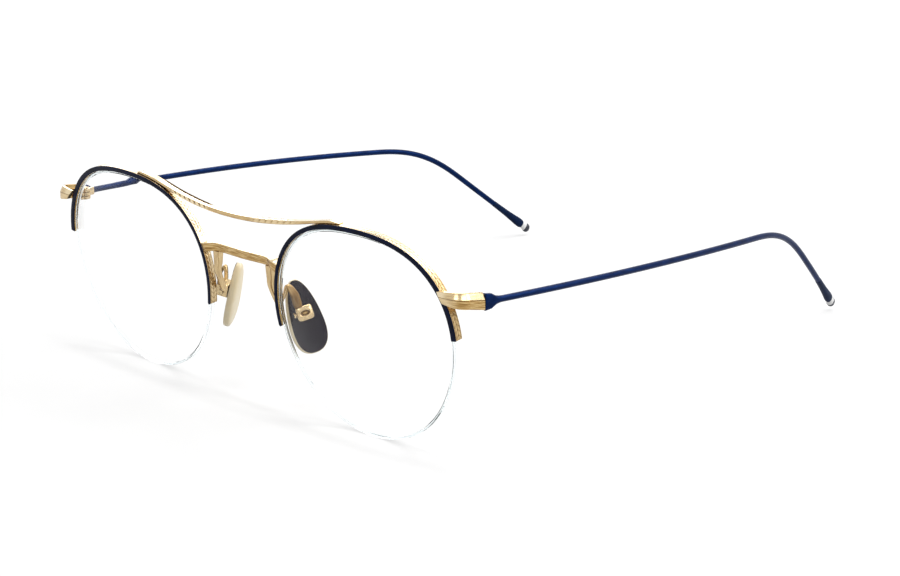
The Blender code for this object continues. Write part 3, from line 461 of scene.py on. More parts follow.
# Colours of the other materials. A pair is the darker and the lighter tone of one surface
ENAMEL = ((0.0015, 0.003, 0.012), (0.006, 0.016, 0.075))
NAVY = ((0.001, 0.008, 0.042), (0.003, 0.025, 0.125))
TIP_NAVY = ((0.002, 0.009, 0.036), (0.005, 0.018, 0.066))
TIP_WHITE = ((0.80, 0.80, 0.80), (0.90, 0.90, 0.90))
TIP_DARK = ((0.010, 0.013, 0.026), (0.022, 0.027, 0.045))
IVORY = ((0.90, 0.75, 0.48), (0.96, 0.85, 0.60))
# The pad's back plate is coloured near black as painted shade on the pad's back
PAD_BACK_SHADE = ((0.009, 0.005, 0.013), (0.014, 0.009, 0.019))
LENS_TINT = (0.995, 0.998, 1.0)
LENS_EDGE_TINT = (0.93, 0.975, 0.98)
LENS_INDEX = 1.16
NYLON_TINT = (0.96, 0.98, 0.99)
NYLON_INDEX = 1.2

LOOKS = {
    "engraved": gold_material("gold_engraved", engraved=True, brushed=0.6, rough=0.24),
    "strap": gold_material("gold_brushed", engraved=True, rough=0.22),
    # The small parts are lightened towards the painted highlight tone
    "gold_node": gold_material("gold_small", swept=False, brushed=0.5, pale=0.45),
    "enamel": lacquer_material("enamel_navy", *ENAMEL, rough=0.2, mottle=0.8, gloss=0.07),
    "navy": lacquer_material("temple_navy", *NAVY, rough=0.32, mottle=0.7, gloss=0.07, metal=0.6),
    "tip": moulded_material("tip_navy", *TIP_NAVY, 0.42, Specular_IOR_Level=0.06),
    "band": moulded_material("tip_white", *TIP_WHITE, 0.4),
    "cap": moulded_material("tip_dark", *TIP_DARK, 0.38),
    "lens": clear_material("lens_clear", LENS_TINT, LENS_INDEX, 0.0, 0.98, LENS_EDGE_TINT),
    "nylon": clear_material("nylon_clear", NYLON_TINT, NYLON_INDEX, 0.12, 0.85),
    "nylon_node": clear_material("nylon_liner", NYLON_TINT, NYLON_INDEX, 0.2, 0.85),
    "ivory": moulded_material("pad_ivory", *IVORY, 0.34),
    "slate": moulded_material("pad_back_painted_shade", *PAD_BACK_SHADE, 0.45, Specular_IOR_Level=0.08),
}

# Lenses and the cord in their lower groove
LENS_TURN_STEPS = 160
LENS_RING_SHARES = [0.08, 0.2, 0.35, 0.5, 0.65, 0.78, 0.88, 0.95]
LENS_BEVEL = 0.16 * MM
GROOVE_DEPTH = 0.7 * MM
GROOVE_HALF_WIDTH = 0.4 * MM
GROOVE_STEPS = 6
CORD_RADIUS = 0.22 * MM
CORD_TUCK = 2.5 * MM

# How far a bevel's middle point lies from its corner, as a share of the bevel
BEVEL_MIDDLE = 0.3


def lens_edge():
    """The lens's edge as (out, back), front to rear: two small bevels with a round groove between them."""
    middle = LENS_THICKNESS / 2
    edge = [(-LENS_BEVEL, 0.0), (-LENS_BEVEL * BEVEL_MIDDLE, LENS_BEVEL * BEVEL_MIDDLE), (0.0, LENS_BEVEL),
            (0.0, middle - GROOVE_HALF_WIDTH)]
    front_half = edge[:]
    for step in range(1, GROOVE_STEPS):
        turn = math.pi * step / GROOVE_STEPS
        edge.append((-GROOVE_DEPTH * math.sin(turn) ** 0.6, middle - GROOVE_HALF_WIDTH * math.cos(turn)))
    return edge + [(out, LENS_THICKNESS - back) for out, back in reversed(front_half)]


def build_lens(label, side):
    stages = [(share, 0.0, 0.0) for share in LENS_RING_SHARES]
    stages += [(1.0, out, back) for out, back in lens_edge()]
    stages += [(share, 0.0, LENS_THICKNESS) for share in reversed(LENS_RING_SHARES)]
    angles = np.linspace(0.0, 2 * np.pi, LENS_TURN_STEPS, endpoint=False)
    rings = [on_front(angles, out, back, share) for share, out, back in stages]
    front = on_front(0.0, 0.0, 0.0, 0.0)
    rear = on_front(0.0, 0.0, LENS_THICKNESS, 0.0)
    at_edge = [float(share == 1.0 and 0.0 < back < LENS_THICKNESS) for share, out, back in stages]
    fields = {"edge": np.repeat(np.array(at_edge)[:, None], LENS_TURN_STEPS, axis=1)}
    item = skin(label + "_lens_polished", rings, side, start=front, end=rear, fields=fields, sharp=25.0)
    dress(item, "lens", "lens", "front", label + "_lens")


def build_lens_cord(label, side):
    inset = CORD_TUCK / outline_radius(0.0)
    angles = np.linspace(RIM_TEMPORAL_ANGLE + inset, RIM_NASAL_ANGLE - inset - 2 * np.pi, 120)
    path = on_front(angles, CORD_RADIUS + SEAT_GAP - GROOVE_DEPTH, LENS_THICKNESS / 2)
    rings = sweep(path, (0.0, 1.0, 0.0), oval(CORD_RADIUS, CORD_RADIUS, 2.0, 12))
    item = skin(label + "_lens_cord_round", rings, side)
    dress(item, "nylon", "nylon", "front", label + "_lens_cord")


# Rims: a gold channel whose outer side is engraved, with thin enamel on its face
RIM_RING_COUNT = 820
RIM_FACE = -0.12 * MM
RIM_REAR = 1.75 * MM
ENGRAVING_DEPTH = 0.05 * MM
RIM_CHANNEL_WIDTH = 0.9 * MM
RIM_WALL = 0.35 * MM
RIM_CHAMFER = 0.12 * MM
RIM_NASAL_ROUND = 0.45 * MM
# Share of polish and painted highlight on the rim's outer side at angles round it, in degrees
RIM_HIGHLIGHT_ANGLES = [8.0, 34.0, 48.0, 66.0, 76.0, 100.0, 110.0, 150.0, 172.0, 188.0]
RIM_POLISH_AND_HIGHLIGHT = [0.22, 0.18, 0.92, 0.92, 0.66, 0.66, 0.92, 0.92, 0.6, 0.4]
ENAMEL_FRONT = -0.30 * MM
ENAMEL_ROUND = 0.06 * MM
ENAMEL_PROUD = 0.02 * MM
ENAMEL_SUNK = 0.01 * MM
ENAMEL_CROWN = 0.03 * MM


def rim_angles(count):
    """Angles along the half rim, closer together at its rounded nasal end."""
    close = np.linspace(0.0, RIM_NASAL_ROUND / outline_radius(math.pi), 9)
    first = RIM_NASAL_ANGLE - close[-1]
    return np.r_[np.linspace(RIM_TEMPORAL_ANGLE, first, count)[:-1], RIM_NASAL_ANGLE - close[::-1]]


def rounded_end(angles, out):
    """Draws the outline of the half rim's nasal end in to a half circle."""
    left = np.clip((RIM_NASAL_ANGLE - angles) * outline_radius(math.pi) / RIM_NASAL_ROUND, 0.02, 1.0)
    share = np.sqrt(1 - (1 - left) ** 2)[:, None]
    middle = (SEAT_GAP + rim_edge(angles)[:, None]) / 2
    return middle + (out - middle) * share


def build_rim(label, side):
    angles = rim_angles(RIM_RING_COUNT)
    along = lengths(on_front(angles, SEAT_GAP, 0.0)) / MM
    outer = rim_edge(angles)[:, None]
    inner = np.full_like(outer, SEAT_GAP)
    channel_front = (LENS_THICKNESS - RIM_CHANNEL_WIDTH) / 2
    channel_rear = (LENS_THICKNESS + RIM_CHANNEL_WIDTH) / 2
    across = np.linspace(-1.0, 1.0, 19)
    hollow_and_shade = 1 - leaves(along[:, None], across[None, :])
    side_out = outer - ENGRAVING_DEPTH * hollow_and_shade
    side_back = RIM_FACE + RIM_CHAMFER / 2 + (across + 1) / 2 * (RIM_REAR - RIM_FACE - RIM_CHAMFER)
    before = [(inner, RIM_FACE), (outer - RIM_CHAMFER, RIM_FACE)]
    after = [
        (outer - RIM_CHAMFER * 1.6, RIM_REAR), (inner, RIM_REAR), (inner, channel_rear),
        (outer - RIM_WALL, channel_rear), (outer - RIM_WALL, channel_front), (inner, channel_front),
    ]
    out = np.hstack([place for place, depth in before] + [side_out] + [place for place, depth in after])
    back = np.r_[[depth for place, depth in before], side_back, [depth for place, depth in after]]
    # Painted highlight: the outer side's colour is lightened by angle round the rim
    polish_and_highlight_share = np.interp(np.degrees(angles), RIM_HIGHLIGHT_ANGLES, RIM_POLISH_AND_HIGHLIGHT)[:, None]
    plain = ((0, 0), (len(before), len(after)))
    fields = {"hollow_and_shade": np.pad(hollow_and_shade, plain), "polish_and_painted_highlight": np.pad(polish_and_highlight_share * np.ones_like(hollow_and_shade), plain)}
    rings = on_front(angles[:, None], rounded_end(angles, out), back)
    item = skin(label + "_rim_engraved", rings, side, fields=fields, sharp=50.0)
    dress(item, "engraved", "gold", "front", label + "_rim")


def build_enamel(label, side):
    angles = rim_angles(280)
    outer = rim_edge(angles)[:, None] + ENAMEL_PROUD
    inner = np.full_like(outer, SEAT_GAP - ENAMEL_PROUD)
    seat = RIM_FACE + ENAMEL_SUNK
    front = ENAMEL_FRONT
    part_way = ENAMEL_ROUND * BEVEL_MIDDLE
    rim = [(inner, seat), (inner, front + ENAMEL_ROUND), (inner + part_way, front + part_way),
           (inner + ENAMEL_ROUND, front)]
    crown = [(inner + (outer - inner) * t, front - ENAMEL_CROWN * math.sin(math.pi * t))
             for t in (0.2, 0.35, 0.5, 0.65, 0.8)]
    close = [(outer - ENAMEL_ROUND, front), (outer - part_way, front + part_way),
             (outer, front + ENAMEL_ROUND), (outer, seat)]
    stages = rim + crown + close
    out = np.hstack([place for place, depth in stages])
    back = np.array([depth for place, depth in stages])
    rings = on_front(angles[:, None], rounded_end(angles, out), back)
    item = skin(label + "_rim_enamel_crowned", rings, side, sharp=50.0)
    dress(item, "enamel", "enamel", "front", label + "_rim_enamel")


# Brow bar: cut into facets towards its ends, with a raised rear edge, both weaker on the wearer's left half
BAR_END_ANGLE = math.radians(99.0)
BAR_LEAVE_ANGLE = math.radians(113.0)
BAR_MIDDLE_HEIGHT = -3.273 * MM
BAR_MIDDLE_DEPTH = -0.76 * MM
BAR_RIM_HANDLE = 4.5 * MM
BAR_MIDDLE_HANDLE = 13.0 * MM
BAR_HALF_HEIGHT = 0.45 * MM
BAR_HALF_DEPTH = 0.6 * MM
BAR_END_HALF_DEPTH = 0.85 * MM
BAR_SMOOTH_FROM = 6.0 * MM
BAR_ENGRAVED_FROM = 8.0 * MM
BAR_ENGRAVED_TO = 18.0 * MM
BAR_SMOOTH_AGAIN = 21.0 * MM
BAR_PITCH = 1.75
BAR_ENGRAVING = 0.13 * MM
BAR_TOP_SHARE = 0.3
BAR_RIDGE = 0.2 * MM
BAR_LEFT_SHARE = 0.6
BAR_TAPER = 2.6 * MM
BAR_EDGE = 0.07 * MM
BAR_RIDGE_PLACES = [5.0 * MM, 8.0 * MM, 23.0 * MM, 25.0 * MM]
BAR_TOP_HIGHLIGHT = 0.95

# Across the bar, the top runs from -1 at its rear edge to 1 at its front one, and the face from 1 to its foot
BAR_FOOT = 1.9
BAR_FACE_COUNT = 9
BAR_TOP_COUNT = 19


def scales(along, across):
    """Height of the bar's engraving, 0 to 1: slanted swelling facets, each with a vein."""
    phase = along / BAR_PITCH + 0.42 * across
    share = phase - np.floor(phase)
    cut = 1 - np.exp(-(np.minimum(share, 1 - share) / 0.13) ** 2)
    swell = 0.35 + 0.65 * np.sin(np.pi * share) ** 0.8
    vein = 1 - 0.35 * np.exp(-((across - 0.5 * (share - 0.5)) / 0.13) ** 2) * (share > 0.2)
    return cut * swell * vein


def bar_half():
    """The left half of the bar's middle line, and the place where it leaves the rim."""
    angles = np.linspace(BAR_END_ANGLE, BAR_LEAVE_ANGLE, 12)
    on_rim = on_front(angles, rim_outer(angles) + BAR_HALF_HEIGHT, RIM_SETBACK + RIM_DEPTH / 2)
    leave = on_rim[-1]
    leave_handle = leave + unit(on_rim[-1] - on_rim[-2]) * BAR_RIM_HANDLE
    middle = np.array([0.0, FRONT_SHIFT + BAR_MIDDLE_DEPTH, leave[2] + SEAT_GAP + BAR_MIDDLE_HEIGHT])
    middle_handle = middle + np.array([BAR_MIDDLE_HANDLE, 0, 0])
    return np.vstack([on_rim, bezier(leave, leave_handle, middle_handle, middle, 60)[1:]]), leave


def build_brow_bar():
    half, leave = bar_half()
    path = resample(np.vstack([half, (half * [-1, 1, 1])[-2::-1]]), 620)
    distances = lengths(path)
    from_end = np.minimum(distances, distances[-1] - distances)[:, None]
    from_middle = np.abs(path[:, :1])
    share = np.clip(from_middle / abs(leave[0]), 0.0, 1.0)
    deep = BAR_HALF_DEPTH + (BAR_END_HALF_DEPTH - BAR_HALF_DEPTH) * share
    deep = deep * (0.75 + 0.25 * np.clip(from_end / BAR_TAPER, 0.0, 1.0) ** 0.5)
    along = (np.abs(distances - distances[-1] / 2) / MM)[:, None]
    places = [BAR_SMOOTH_FROM, BAR_ENGRAVED_FROM, BAR_ENGRAVED_TO, BAR_SMOOTH_AGAIN]
    half_share = np.where(path[:, :1] > 0, BAR_LEFT_SHARE, 1.0)
    window = np.interp(from_middle, places, [0.0, 1.0, 1.0, 0.12]) * half_share
    ridge = np.interp(from_middle, BAR_RIDGE_PLACES, [0.0, 1.0, 1.0, 0.0]) * half_share ** 3
    face = np.linspace(BAR_FOOT, 1.0, BAR_FACE_COUNT)[None, :]
    top = np.linspace(1.0, -1.0, BAR_TOP_COUNT)[None, :]
    face_recess = (1 - scales(along, face)) * window * np.clip((BAR_FOOT - face) / 0.3, 0.0, 1.0)
    rear_fade = 1 - np.exp(-((top + 1) / 0.12) ** 2)
    top_hollow_and_shade = (1 - scales(along, top)) * window * BAR_TOP_SHARE * rear_fade

    one = np.ones((len(path), 1))
    low = BAR_HALF_HEIGHT + 0.05 * MM
    thin = np.clip(1 - from_end / BAR_TAPER, 0.0, 1.0) ** 1.5 * BAR_HALF_HEIGHT * 0.9
    high = BAR_HALF_HEIGHT * (1 - 0.75 * np.clip((share - 0.5) / 0.45, 0.0, 1.0)) - thin
    bevel = 2 * BAR_EDGE
    face_a = -(deep - face_recess * BAR_ENGRAVING)
    face_b = (low - bevel) - (low + high - 3 * BAR_EDGE) * (BAR_FOOT - face) / (BAR_FOOT - 1)
    top_a = -top * (deep - BAR_EDGE)
    top_b = -(high - top_hollow_and_shade * BAR_ENGRAVING)
    top_b[:, -1:] -= ridge * BAR_RIDGE
    rear_b = -(high - BAR_EDGE + ridge * BAR_RIDGE)
    a = np.hstack([face_a, top_a, deep, deep, deep - bevel, -deep + bevel])
    b = np.hstack([face_b, top_b, rear_b, (low - bevel) * one, low * one, low * one])

    # Painted shade: a dark line along the raised rear edge, weaker on the wearer's left half
    top_hollow_and_shade[:, -1:] = ridge
    top_hollow_and_shade[:, -2:-1] = ridge * 0.7
    # Painted highlight on the top face and on the facets of the face
    face_polish_and_highlight = (1 - face_recess) * (0.2 + 0.65 * window)
    top_polish_and_highlight = np.full((len(path), BAR_TOP_COUNT - 2), BAR_TOP_HIGHLIGHT)
    fields = {
        "hollow_and_shade": np.hstack([face_recess, top_hollow_and_shade, ridge, one * np.zeros(3)]),
        "polish_and_painted_highlight": np.hstack([face_polish_and_highlight, top_polish_and_highlight, one * np.zeros(6)]),
    }
    rings = sweep(path, (0.0, 1.0, 0.0), np.stack([a, b], -1))
    item = skin("brow_bar_engraved", rings, 1, fields=fields, sharp=40.0)
    dress(item, "engraved", "gold", "front", "brow_bar")


# Bridge strap, tilted so that its rear edge is the higher one
BRIDGE_ANGLE = math.radians(158.5)
BRIDGE_TILT = math.radians(8.0)
BRIDGE_BEND = (-3.652, 0.687, 0.54)
BRIDGE_MIDDLE_Z = 0.44
BRIDGE_SOCKET = 1.0 * MM
BRIDGE_SUNK = 0.1 * MM
BRIDGE_HALF_DEPTH = 1.1
BRIDGE_HALF_HEIGHT = 0.95


def build_bridge():
    bend = from_bridge_end(BRIDGE_BEND)
    middle = np.array([0.0, bend[1], from_bridge_end((0, 0, 0))[2] + BRIDGE_MIDDLE_Z * MM])
    place = RIM_SETBACK + RIM_DEPTH / 2
    rim_side = rim_outer(BRIDGE_ANGLE)
    root = on_front(BRIDGE_ANGLE, rim_side - BRIDGE_SUNK, place)
    socket = on_front(BRIDGE_ANGLE, rim_side + SEAT_GAP + BRIDGE_SOCKET, place)
    half = np.array([root, socket, bend])
    knots = np.vstack([half, middle, (half * [-1, 1, 1])[::-1]])
    path = resample(smooth_path(knots, 24), 150)
    reach = np.abs(path[:, 0]) / abs(root[0])
    swell = 1 + 0.12 * np.clip((reach - 0.8) / 0.2, 0.0, 1.0)
    w, h = BRIDGE_HALF_DEPTH, BRIDGE_HALF_HEIGHT
    section = rounded([(-w, -h), (w, -h), (w, h), (-w, h)], 0.22, 4, 3)[None] * swell[:, None, None]
    across = (0.0, math.cos(BRIDGE_TILT), math.sin(BRIDGE_TILT))
    # Painted highlight on the strap's top face
    on_top = section[..., 1] < -0.85 * MM
    item = skin("bridge_strap", sweep(path, across, section), 1, fields={"polish_and_painted_highlight": on_top * 0.85})
    dress(item, "strap", "gold", "front", "bridge")


# Pads, in their own frame: X points from the nose face to the lens, Y to the rear and Z up
PAD_PIVOT = (2.148, 5.737, -10.76)
PAD_TURN = np.array(Euler((math.radians(15.0), math.radians(-14.5), math.radians(-34.0)), "XYZ").to_matrix())
PAD_HEIGHT = 15.9
PAD_WIDTH = 7.0
PAD_TAPER = 0.27
PAD_DROP = 0.9
PAD_REAR = -1.8
PAD_GAP = 0.05
PAD_DEPTH = 1.73

# Rings of the pad and of its plate, as (share of the outline, place along X)
PAD_PROFILE = [
    (0.93, 0.0), (0.975, -0.02), (0.993, -0.08), (1.0, -0.2), (1.005, -0.6), (1.0, -0.95), (0.98, -1.18),
    (0.93, -1.36), (0.85, -1.49), (0.7, -1.6), (0.5, -1.67), (0.28, -1.71), (0.1, -1.72),
]
PLATE_PROFILE = [(0.9, -0.1), (0.975, -0.08), (0.985, -0.03), (0.975, 0.02), (0.93, 0.04)]
PLATE_FRONT_SHARE = 0.86

# Boss of the plate as (place, growth), from its foot to its head in the box
BOSS_STAGES = [(PAD_REAR + 0.04, 1.5), (PAD_REAR + 0.1, 1.12), (PAD_REAR + 0.3, 1.0), (0.4, 1.0), (0.6, 0.8)]
BOSS_HALF_HEIGHT = 0.75
BOSS_GAP = 0.2
BOX_SIZE = (2.8, 3.4, 3.2)
BOX_WALL = 0.5
BOX_FLOOR = 0.3
BOX_SIDES = 48
SLOT_FLOOR = 1.0


def in_pad(points):
    """Points of the left pad's frame, given in mm, as places on the model."""
    return from_bridge_end(PAD_PIVOT) + np.array(points, float) * MM @ PAD_TURN.T


def flat_ring(place_x, half_width, half_height, power, count):
    """A ring square to the pad frame's X."""
    shape = oval(half_width, half_height, power, count)[0]
    return np.stack([np.full(count, place_x), shape[:, 0], shape[:, 1]], -1)


def pad_outline(shares, places, count=72):
    """The pad's outline, wider at its foot, at shares of its size and places along X."""
    angle = 2 * np.pi * np.arange(count) / count
    up = np.sign(np.sin(angle)) * np.abs(np.sin(angle)) ** 0.82
    across = np.sign(np.cos(angle)) * np.abs(np.cos(angle)) ** 0.87
    share = np.array(shares)[:, None]
    place_x = np.array(places)[:, None]
    y = PAD_WIDTH / 2 * across * (1 - PAD_TAPER * up) * share
    z = PAD_HEIGHT / 2 * up * share - PAD_DROP
    return np.stack([place_x + 0 * y, y, z], -1)


def pad_rings(profile, rear):
    shares, places = np.array(profile).T
    return pad_outline(shares, rear + places)


def build_pad(label, side):
    rear = PAD_REAR - PAD_GAP
    ends = in_pad([(rear, 0.0, -PAD_DROP), (rear - PAD_DEPTH, 0.0, -PAD_DROP)])
    rings = in_pad(pad_rings(PAD_PROFILE, rear))
    item = skin(label + "_pad_face", rings, side, start=ends[0], end=ends[1], sharp=70.0)
    dress(item, "ivory", "ivory", label + "_pad", label + "_pad")

    # The back plate takes the near-black painted shade
    plate = pad_rings(PLATE_PROFILE, PAD_REAR)
    plate[..., 1] *= np.where(plate[..., 1] < 0, PLATE_FRONT_SHARE, 1.0)
    rings = list(plate)
    half_width = BOX_SIZE[1] / 2 - BOX_WALL - BOSS_GAP
    for place_x, grow in BOSS_STAGES:
        rings.append(flat_ring(place_x, half_width * grow, BOSS_HALF_HEIGHT * grow, 6.0, len(rings[0])))
    ends = in_pad([(PAD_REAR - 0.1, 0.0, -PAD_DROP), (0.62, 0.0, 0.0)])
    item = skin(label + "_pad_back", in_pad(np.array(rings)), side, start=ends[0], end=ends[1], sharp=40.0)
    dress(item, "slate", "slate", label + "_pad", label + "_pad_plate")


# Pad arms: a strip that narrows down from the bridge, comes back up in a U and widens over to the box.
# A size is its half width, its half depth and how far it has turned to the pad's axis
ARM_BRIDGE_KNOTS = [(-2.782, 0.337, -0.5), (-2.70, 0.34, -2.9), (-2.582, 0.387, -5.2), (-2.052, 2.237, -9.36)]
ARM_PAD_KNOTS = [
    (-0.95, -3.1, 4.1), (0.0, -1.6, 6.3), (0.95, -0.95, 4.4), (0.98, -0.9, 2.6), (0.95, -0.85, 1.45),
]
ARM_SIZES = [
    (0.82, 0.88, 0.0), (0.72, 0.78, 0.0), (0.52, 0.62, 0.0), (0.40, 0.66, 0.15), (0.30, 0.46, 0.8),
    (0.50, 0.42, 1.0), (0.86, 0.38, 1.0), (0.92, 0.38, 1.0), (0.80, 0.40, 1.0),
]
ARM_STEPS = 16
ARM_SIDES = 28
ARM_POLISH_AND_HIGHLIGHT = 0.32


def build_pad_arm(label, side):
    knots = [from_bridge_end(point) for point in ARM_BRIDGE_KNOTS]
    knots += [in_pad(point) for point in ARM_PAD_KNOTS]
    path = smooth_path(knots, ARM_STEPS)
    knot = np.arange(len(path)) / ARM_STEPS
    wide, deep, turn = (np.interp(knot, np.arange(len(knots)), column) for column in np.array(ARM_SIZES).T)
    pad_axis = PAD_TURN @ np.array([0.0, 1.0, 0.0])
    reference = np.array([1.0, 0.0, 0.0]) * (1 - turn[:, None]) + pad_axis * turn[:, None]
    power = np.interp(knot, [0, 3, 5], [7.0, 5.0, 2.6])
    rings = sweep(path, reference, oval(wide * MM, deep * MM, power, ARM_SIDES))
    # Painted shade darkens the arm towards the box, and a painted highlight lightens its upper part
    painted_shade = np.interp(knot, [4, 6], [0.0, 0.8])[:, None] * np.ones((1, ARM_SIDES))
    fields = {"hollow_and_shade": painted_shade, "polish_and_painted_highlight": ARM_POLISH_AND_HIGHLIGHT - painted_shade * 0.4}
    item = skin(label + "_pad_arm_strip", rings, side, fields=fields, sharp=40.0)
    dress(item, "strap", "gold", "front", label + "_pad_arm")


def box_stages():
    """Rings from the inner floor round to the slot: (place, half width, half height, power, shade)."""
    deep, wide, high = np.array(BOX_SIZE) / 2
    floor = SLOT_FLOOR - BOX_FLOOR
    return [
        (floor, wide - BOX_WALL, high - BOX_WALL, 5.0, 1.0),
        (-deep, wide - BOX_WALL, high - BOX_WALL, 5.0, 1.0),
        (-deep, wide - 0.05, high - 0.05, 5.0, 0.0), (-deep + 0.1, wide, high, 5.0, 0.0),
        (deep - 0.55, wide, high, 5.0, 0.0), (deep - 0.25, wide - 0.1, high - 0.1, 5.0, 0.0),
        (deep - 0.08, wide - 0.3, high - 0.3, 4.5, 0.0), (deep, wide - 0.55, high - 0.65, 3.6, 0.0),
        (deep, 1.02, 0.62, 2.4, 0.15), (deep - 0.06, 0.95, 0.54, 2.3, 0.6),
        (SLOT_FLOOR + 0.04, 0.9, 0.48, 2.3, 1.0), (SLOT_FLOOR, 0.6, 0.3, 2.2, 1.0),
    ]


def build_pad_box(label, side):
    """Rounded box that opens to the pad, with a sunken oval slot in its outer face."""
    stages = box_stages()
    rings = np.array([flat_ring(*stage[:4], BOX_SIDES) for stage in stages])
    shade = np.repeat(np.array([stage[4] for stage in stages])[:, None], BOX_SIDES, axis=1)
    ends = in_pad([(SLOT_FLOOR - BOX_FLOOR, 0.0, 0.0), (SLOT_FLOOR, 0.0, 0.0)])
    # Painted shade in the slot and inside the box, and a painted highlight on its outer face
    fields = {"hollow_and_shade": shade, "polish_and_painted_highlight": 0.4 - 0.4 * shade}
    item = skin(label + "_pad_box_rounded", in_pad(rings), side, start=ends[0], end=ends[1], fields=fields,
                sharp=50.0)
    dress(item, "engraved", "gold", "front", label + "_pad_box")


# Endpieces: a strap with a wide bevel along its top and a groove below it.
# The groove has its place, as a share of the half height, and its depth in mm
ENDPIECE_ANGLE = math.radians(30.0)
ENDPIECE_FRONT = (1.562, -1.064, 0.216)
ENDPIECE_FRONT_HANDLE = (3.2, 0.2, 0.0)
ENDPIECE_BEND = (6.462, 2.086, -0.234)
ENDPIECE_BEND_HANDLE = (0.0, -2.2, 0.3)
ENDPIECE_END = (6.462, 6.186, -1.034)
ENDPIECE_SLANT = 0.8
STRAP_GROOVE = (0.12, 0.08)
STRAP_HALF_HEIGHT = 1.5
STRAP_HALF_THICKNESS = 0.6
STRAP_ROUND = 0.14 * MM


def strap_section(half_height, half_thickness, bevel_drop, inner_extra=0.0):
    """Section in mm, as height and outward depth, with a bevel from the outer face up to the top."""
    h, t = half_height, half_thickness
    share, deep = STRAP_GROOVE
    corners = [
        (-h, -t - inner_extra), (-h, t - 0.12), (-h + 0.14, t), (h * (share - 0.06), t),
        (h * share, t - deep), (h * (share + 0.08), t - 0.02), (h - 0.05, t - bevel_drop),
        (h, t - bevel_drop - 0.12), (h, -t - inner_extra),
    ]
    return rounded(corners, 0.05, 2, 1)


def build_endpiece(label, side):
    edge = on_front(ENDPIECE_ANGLE)
    places = (ENDPIECE_FRONT, ENDPIECE_BEND, ENDPIECE_END)
    front, bend, end = (edge + np.array(offset) * MM for offset in places)
    curve = bezier(front, front + np.array(ENDPIECE_FRONT_HANDLE) * MM,
                   bend + np.array(ENDPIECE_BEND_HANDLE) * MM, bend, 60)
    straight = np.linspace(bend, end, 30)[1:]
    path = resample(np.vstack([curve, straight]), 90)
    distances = lengths(path)
    total = distances[-1]
    half_way = lengths(curve)[-1] * 0.55
    middle = strap_section(STRAP_HALF_HEIGHT, STRAP_HALF_THICKNESS, 0.62)
    stops = [
        (0.0, strap_section(0.98, 0.28, 0.3, 0.3)), (STRAP_ROUND, strap_section(1.1, 0.4, 0.34, 0.2)),
        (half_way, middle), (total - STRAP_ROUND, strap_section(1.7, STRAP_HALF_THICKNESS, 0.62)),
        (total, strap_section(1.63, 0.53, 0.6)),
    ]
    fall = (end[2] - bend[2]) / (end[1] - bend[1])
    slant = np.interp(distances, [0.0, half_way, total], [-ENDPIECE_SLANT, 0.0, fall])
    rings = sweep(path, (0.0, 0.0, 1.0), blend_sections(distances, stops), slant)
    # Painted shade darkens the groove as a line; a painted highlight lightens the bevel and the strap's front
    # end
    groove = np.array([STRAP_HALF_HEIGHT * STRAP_GROOVE[0], STRAP_HALF_THICKNESS - STRAP_GROOVE[1]]) * MM
    dark = (np.linalg.norm(middle - groove, axis=1) < 0.08 * MM).astype(float)
    bevel = ((middle[:, 0] > 0.3 * MM) & (middle[:, 1] > 0)).astype(float)
    polish_and_painted_highlight = np.interp(distances, [0.0, 1.2 * MM, 2.2 * MM], [0.95, 0.95, 0.4])[:, None] * bevel
    polish_and_painted_highlight = np.maximum(polish_and_painted_highlight, np.interp(distances, [2.0 * MM, 4.5 * MM], [0.5, 0.0])[:, None])
    fields = {"hollow_and_shade": np.tile(dark, (len(rings), 1)), "polish_and_painted_highlight": polish_and_painted_highlight}
    item = skin(label + "_endpiece_strap", rings, side, fields=fields, sharp=10.0)
    dress(item, "strap", "gold", "front", label + "_endpiece")


# Temples: slopes are down from level, and toe angles are outward from straight back
TEMPLE_START = (-0.032, -0.431, -0.2)
TEMPLE_LENGTH = 147.0 * MM
TEMPLE_BEND_START = 57.0 * MM
TEMPLE_BEND_END = 26.0 * MM
TEMPLE_SLOPES = [math.radians(value) for value in (2.2, 4.5, 38.4)]
TEMPLE_TOES = [math.radians(value) for value in (5.4, -9.0, -17.6)]
TEMPLE_RADIUS = 0.68
TEMPLE_STEPS = 294
TIP_LENGTH = 14.0 * MM
TIP_BAND = 1.0 * MM
TIP_CAP = 1.6 * MM

# End block and the start of the wire as (distance, half thickness, half height), and how square each ring is
BLOCK_STAGES = [
    (0.6, 0.50, 1.62), (0.66, 0.56, 1.70), (0.74, 0.60, 1.74), (2.3, 0.62, 1.55), (2.9, 0.66, 1.22),
    (3.6, TEMPLE_RADIUS, 0.90), (4.4, TEMPLE_RADIUS, 0.74), (5.2, TEMPLE_RADIUS, TEMPLE_RADIUS),
]
BLOCK_POWERS = [5.5, 5.5, 5.5, 4.6, 3.4, 2.4, 2.1, 2.0]


